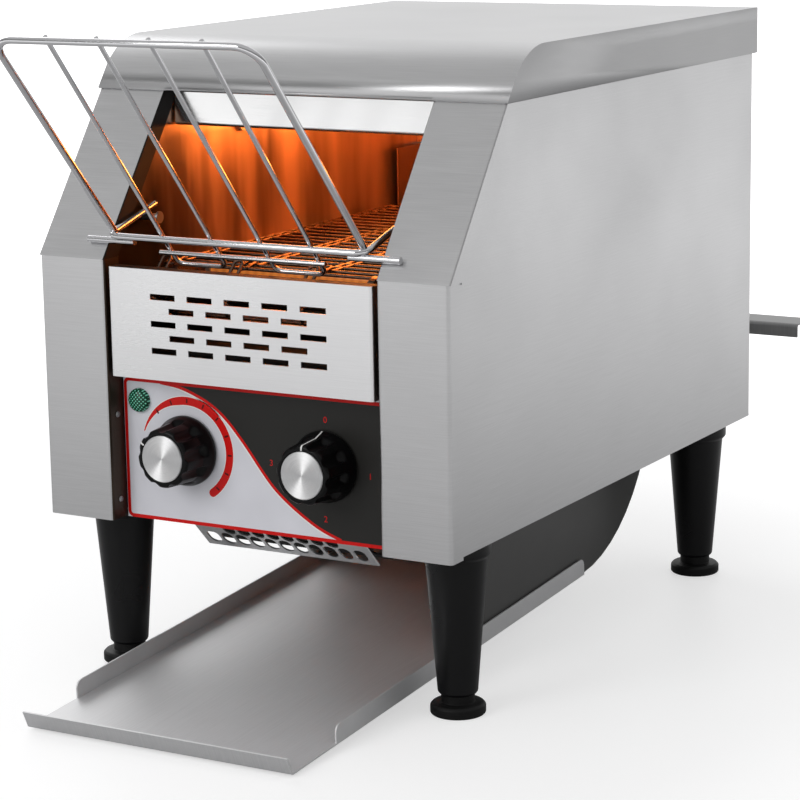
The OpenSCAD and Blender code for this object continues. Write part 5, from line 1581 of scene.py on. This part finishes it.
class TOASTER_OT_stage(bpy.types.Operator):
    """Set the floor, the light and the camera."""

    bl_idname = "toaster.stage"
    bl_label = "Stage"

    def execute(self, context):
        context.scene.view_settings.view_transform = "Standard"
        self.table()
        self.studio(context.scene)
        soft_light("Key light", (-0.7, -2.1, 1.15), 1.0, 12)
        soft_light("Top light", (-2.2, 0.9, 1.6), 1.6, 16)
        self.camera(context.scene)
        return {"FINISHED"}

    def table(self):
        """Matt white table, which runs out into the white of the backdrop."""
        tree, shader = new_material("Matt white table")
        where = add_node(tree, "ShaderNodeTexCoord").outputs["Object"]
        mottle = add_node(tree, "ShaderNodeTexNoise", {"Vector": where, "Scale": scale_for(333.3)})
        shades = [(0.0, linear("#BCBCBD")), (1.0, linear("#C0C0C0"))]
        tone = add_node(tree, "ShaderNodeValToRGB", {"Fac": mottle}, stops=shades)
        # The table whitens between two distances from a point beside the toaster, in metres
        beside, near, far = (-0.18, -0.14, 0), 0.47, 1.95
        away = add_node(tree, "ShaderNodeVectorMath", {0: where, 1: beside}, operation="DISTANCE")
        away = away.outputs["Value"]
        lift = add_node(
            tree,
            "ShaderNodeMapRange",
            {"Value": away, "From Min": near, "From Max": far, "To Min": 0.0, "To Max": 0.78},
        )
        direct, seen = camera_rays(tree)
        whiter = add_node(tree, "ShaderNodeMath", {0: lift, 1: seen}, operation="MULTIPLY")
        plain_level = 0.56
        glow = add_node(
            tree, "ShaderNodeMath", {0: direct, 1: plain_level, 2: whiter}, operation="MULTIPLY_ADD"
        )
        feed(
            tree,
            shader,
            {
                "Base Color": tone,
                "Emission Color": (1, 1, 1, 1),
                "Emission Strength": glow,
                "Roughness": 0.5,
                "Specular IOR Level": 0.2,
            },
        )
        bm = bmesh.new()
        bmesh.ops.create_circle(bm, cap_ends=True, segments=64, radius=12.0)
        top = from_bmesh("table_top", bm, finish("Matt white table"))
        if top.data.polygons[0].normal.z < 0:
            top.data.flip_normals()

    def studio(self, scene):
        """White where the backdrop stands behind the toaster, grey overhead, and dim towards the room."""
        world = bpy.data.worlds.new("Studio")
        scene.world = world
        world.use_nodes = True
        tree = world.node_tree
        tree.nodes.clear()
        where = add_node(tree, "ShaderNodeTexCoord").outputs["Generated"]
        behind = (-0.4, 0.9, 0.1)
        facing = add_node(tree, "ShaderNodeVectorMath", {0: where, 1: behind}, operation="DOT_PRODUCT")
        facing = facing.outputs["Value"]
        cloth = add_node(
            tree,
            "ShaderNodeMapRange",
            {"Value": facing, "From Min": 0.5, "From Max": 0.95, "To Min": 0.22, "To Max": 0.95},
        )
        height = add_node(tree, "ShaderNodeSeparateXYZ", {"Vector": where}).outputs["Z"]
        ceiling = add_node(
            tree,
            "ShaderNodeMapRange",
            {"Value": height, "From Min": 0.2, "From Max": 0.7, "To Min": 0.0, "To Max": 0.34},
        )
        room = add_node(tree, "ShaderNodeMath", {0: cloth, 1: ceiling}, operation="ADD")
        direct, seen = camera_rays(tree)
        backdrop = add_node(tree, "ShaderNodeMath", {0: direct, 1: room}, operation="MAXIMUM")
        # What only lights the toaster is even and plain
        even = 0.62
        level = add_node(tree, "ShaderNodeMapRange", {"Value": seen, "To Min": even, "To Max": backdrop})
        sky = add_node(tree, "ShaderNodeBackground", {"Color": (1, 1, 1, 1), "Strength": level})
        add_node(tree, "ShaderNodeOutputWorld", {"Surface": sky})

    def camera(self, scene):
        """A long lens from the front right, a little above the hood."""
        camera = bpy.data.cameras.new("Camera")
        camera.lens, camera.sensor_width, camera.sensor_fit = 121.75, 36, "HORIZONTAL"
        camera.clip_end = 30
        rig = bpy.data.objects.new("Camera", camera)
        scene.collection.objects.link(rig)
        right = Vector((0.868937, 0.494650, -0.016415))
        up = Vector((-0.087890, 0.186863, 0.978446))
        back = Vector((0.487056, -0.848766, 0.205847))
        turn = Matrix((right, up, back)).transposed().to_4x4()
        rig.matrix_world = Matrix.Translation(at(871.736, -1325.733, 522.787)) @ turn
        scene.camera = rig


STEPS = (
    TOASTER_OT_finishes,
    TOASTER_OT_body_sheets,
    TOASTER_OT_hood,
    TOASTER_OT_conveyor,
    TOASTER_OT_chute_and_tray,
    TOASTER_OT_knobs,
    TOASTER_OT_overlay,
    TOASTER_OT_rack,
    TOASTER_OT_legs,
    TOASTER_OT_screws,
    TOASTER_OT_stage,
)


class TOASTER_PT_panel(bpy.types.Panel):
    """Lists the toaster's pieces and their sizes."""

    bl_idname = "TOASTER_PT_panel"
    bl_label = "Conveyor toaster"
    bl_space_type = "VIEW_3D"
    bl_region_type = "UI"
    bl_category = "Toaster"

    def draw(self, context):
        layout = self.layout
        for group in (context.scene.toaster_sizes, context.scene.toaster_colours):
            box = layout.box()
            for name in group.__annotations__:
                box.prop(group, name)
        for step in STEPS:
            layout.operator(step.bl_idname)


CLASSES = (ToasterSizes, ToasterColours, *STEPS, TOASTER_PT_panel)


def register():
    """Adds the classes and the toaster's settings."""
    for cls in CLASSES:
        bpy.utils.register_class(cls)
    bpy.types.Scene.toaster_sizes = PointerProperty(type=ToasterSizes)
    bpy.types.Scene.toaster_colours = PointerProperty(type=ToasterColours)


def unregister():
    """Removes them again."""
    del bpy.types.Scene.toaster_colours
    del bpy.types.Scene.toaster_sizes
    for cls in reversed(CLASSES):
        bpy.utils.unregister_class(cls)


def main():
    """Builds the toaster and its stage."""
    register()
    for step in STEPS:
        group, name = step.bl_idname.split(".")
        getattr(getattr(bpy.ops, group), name)()


if __name__ == "__main__":
    main()
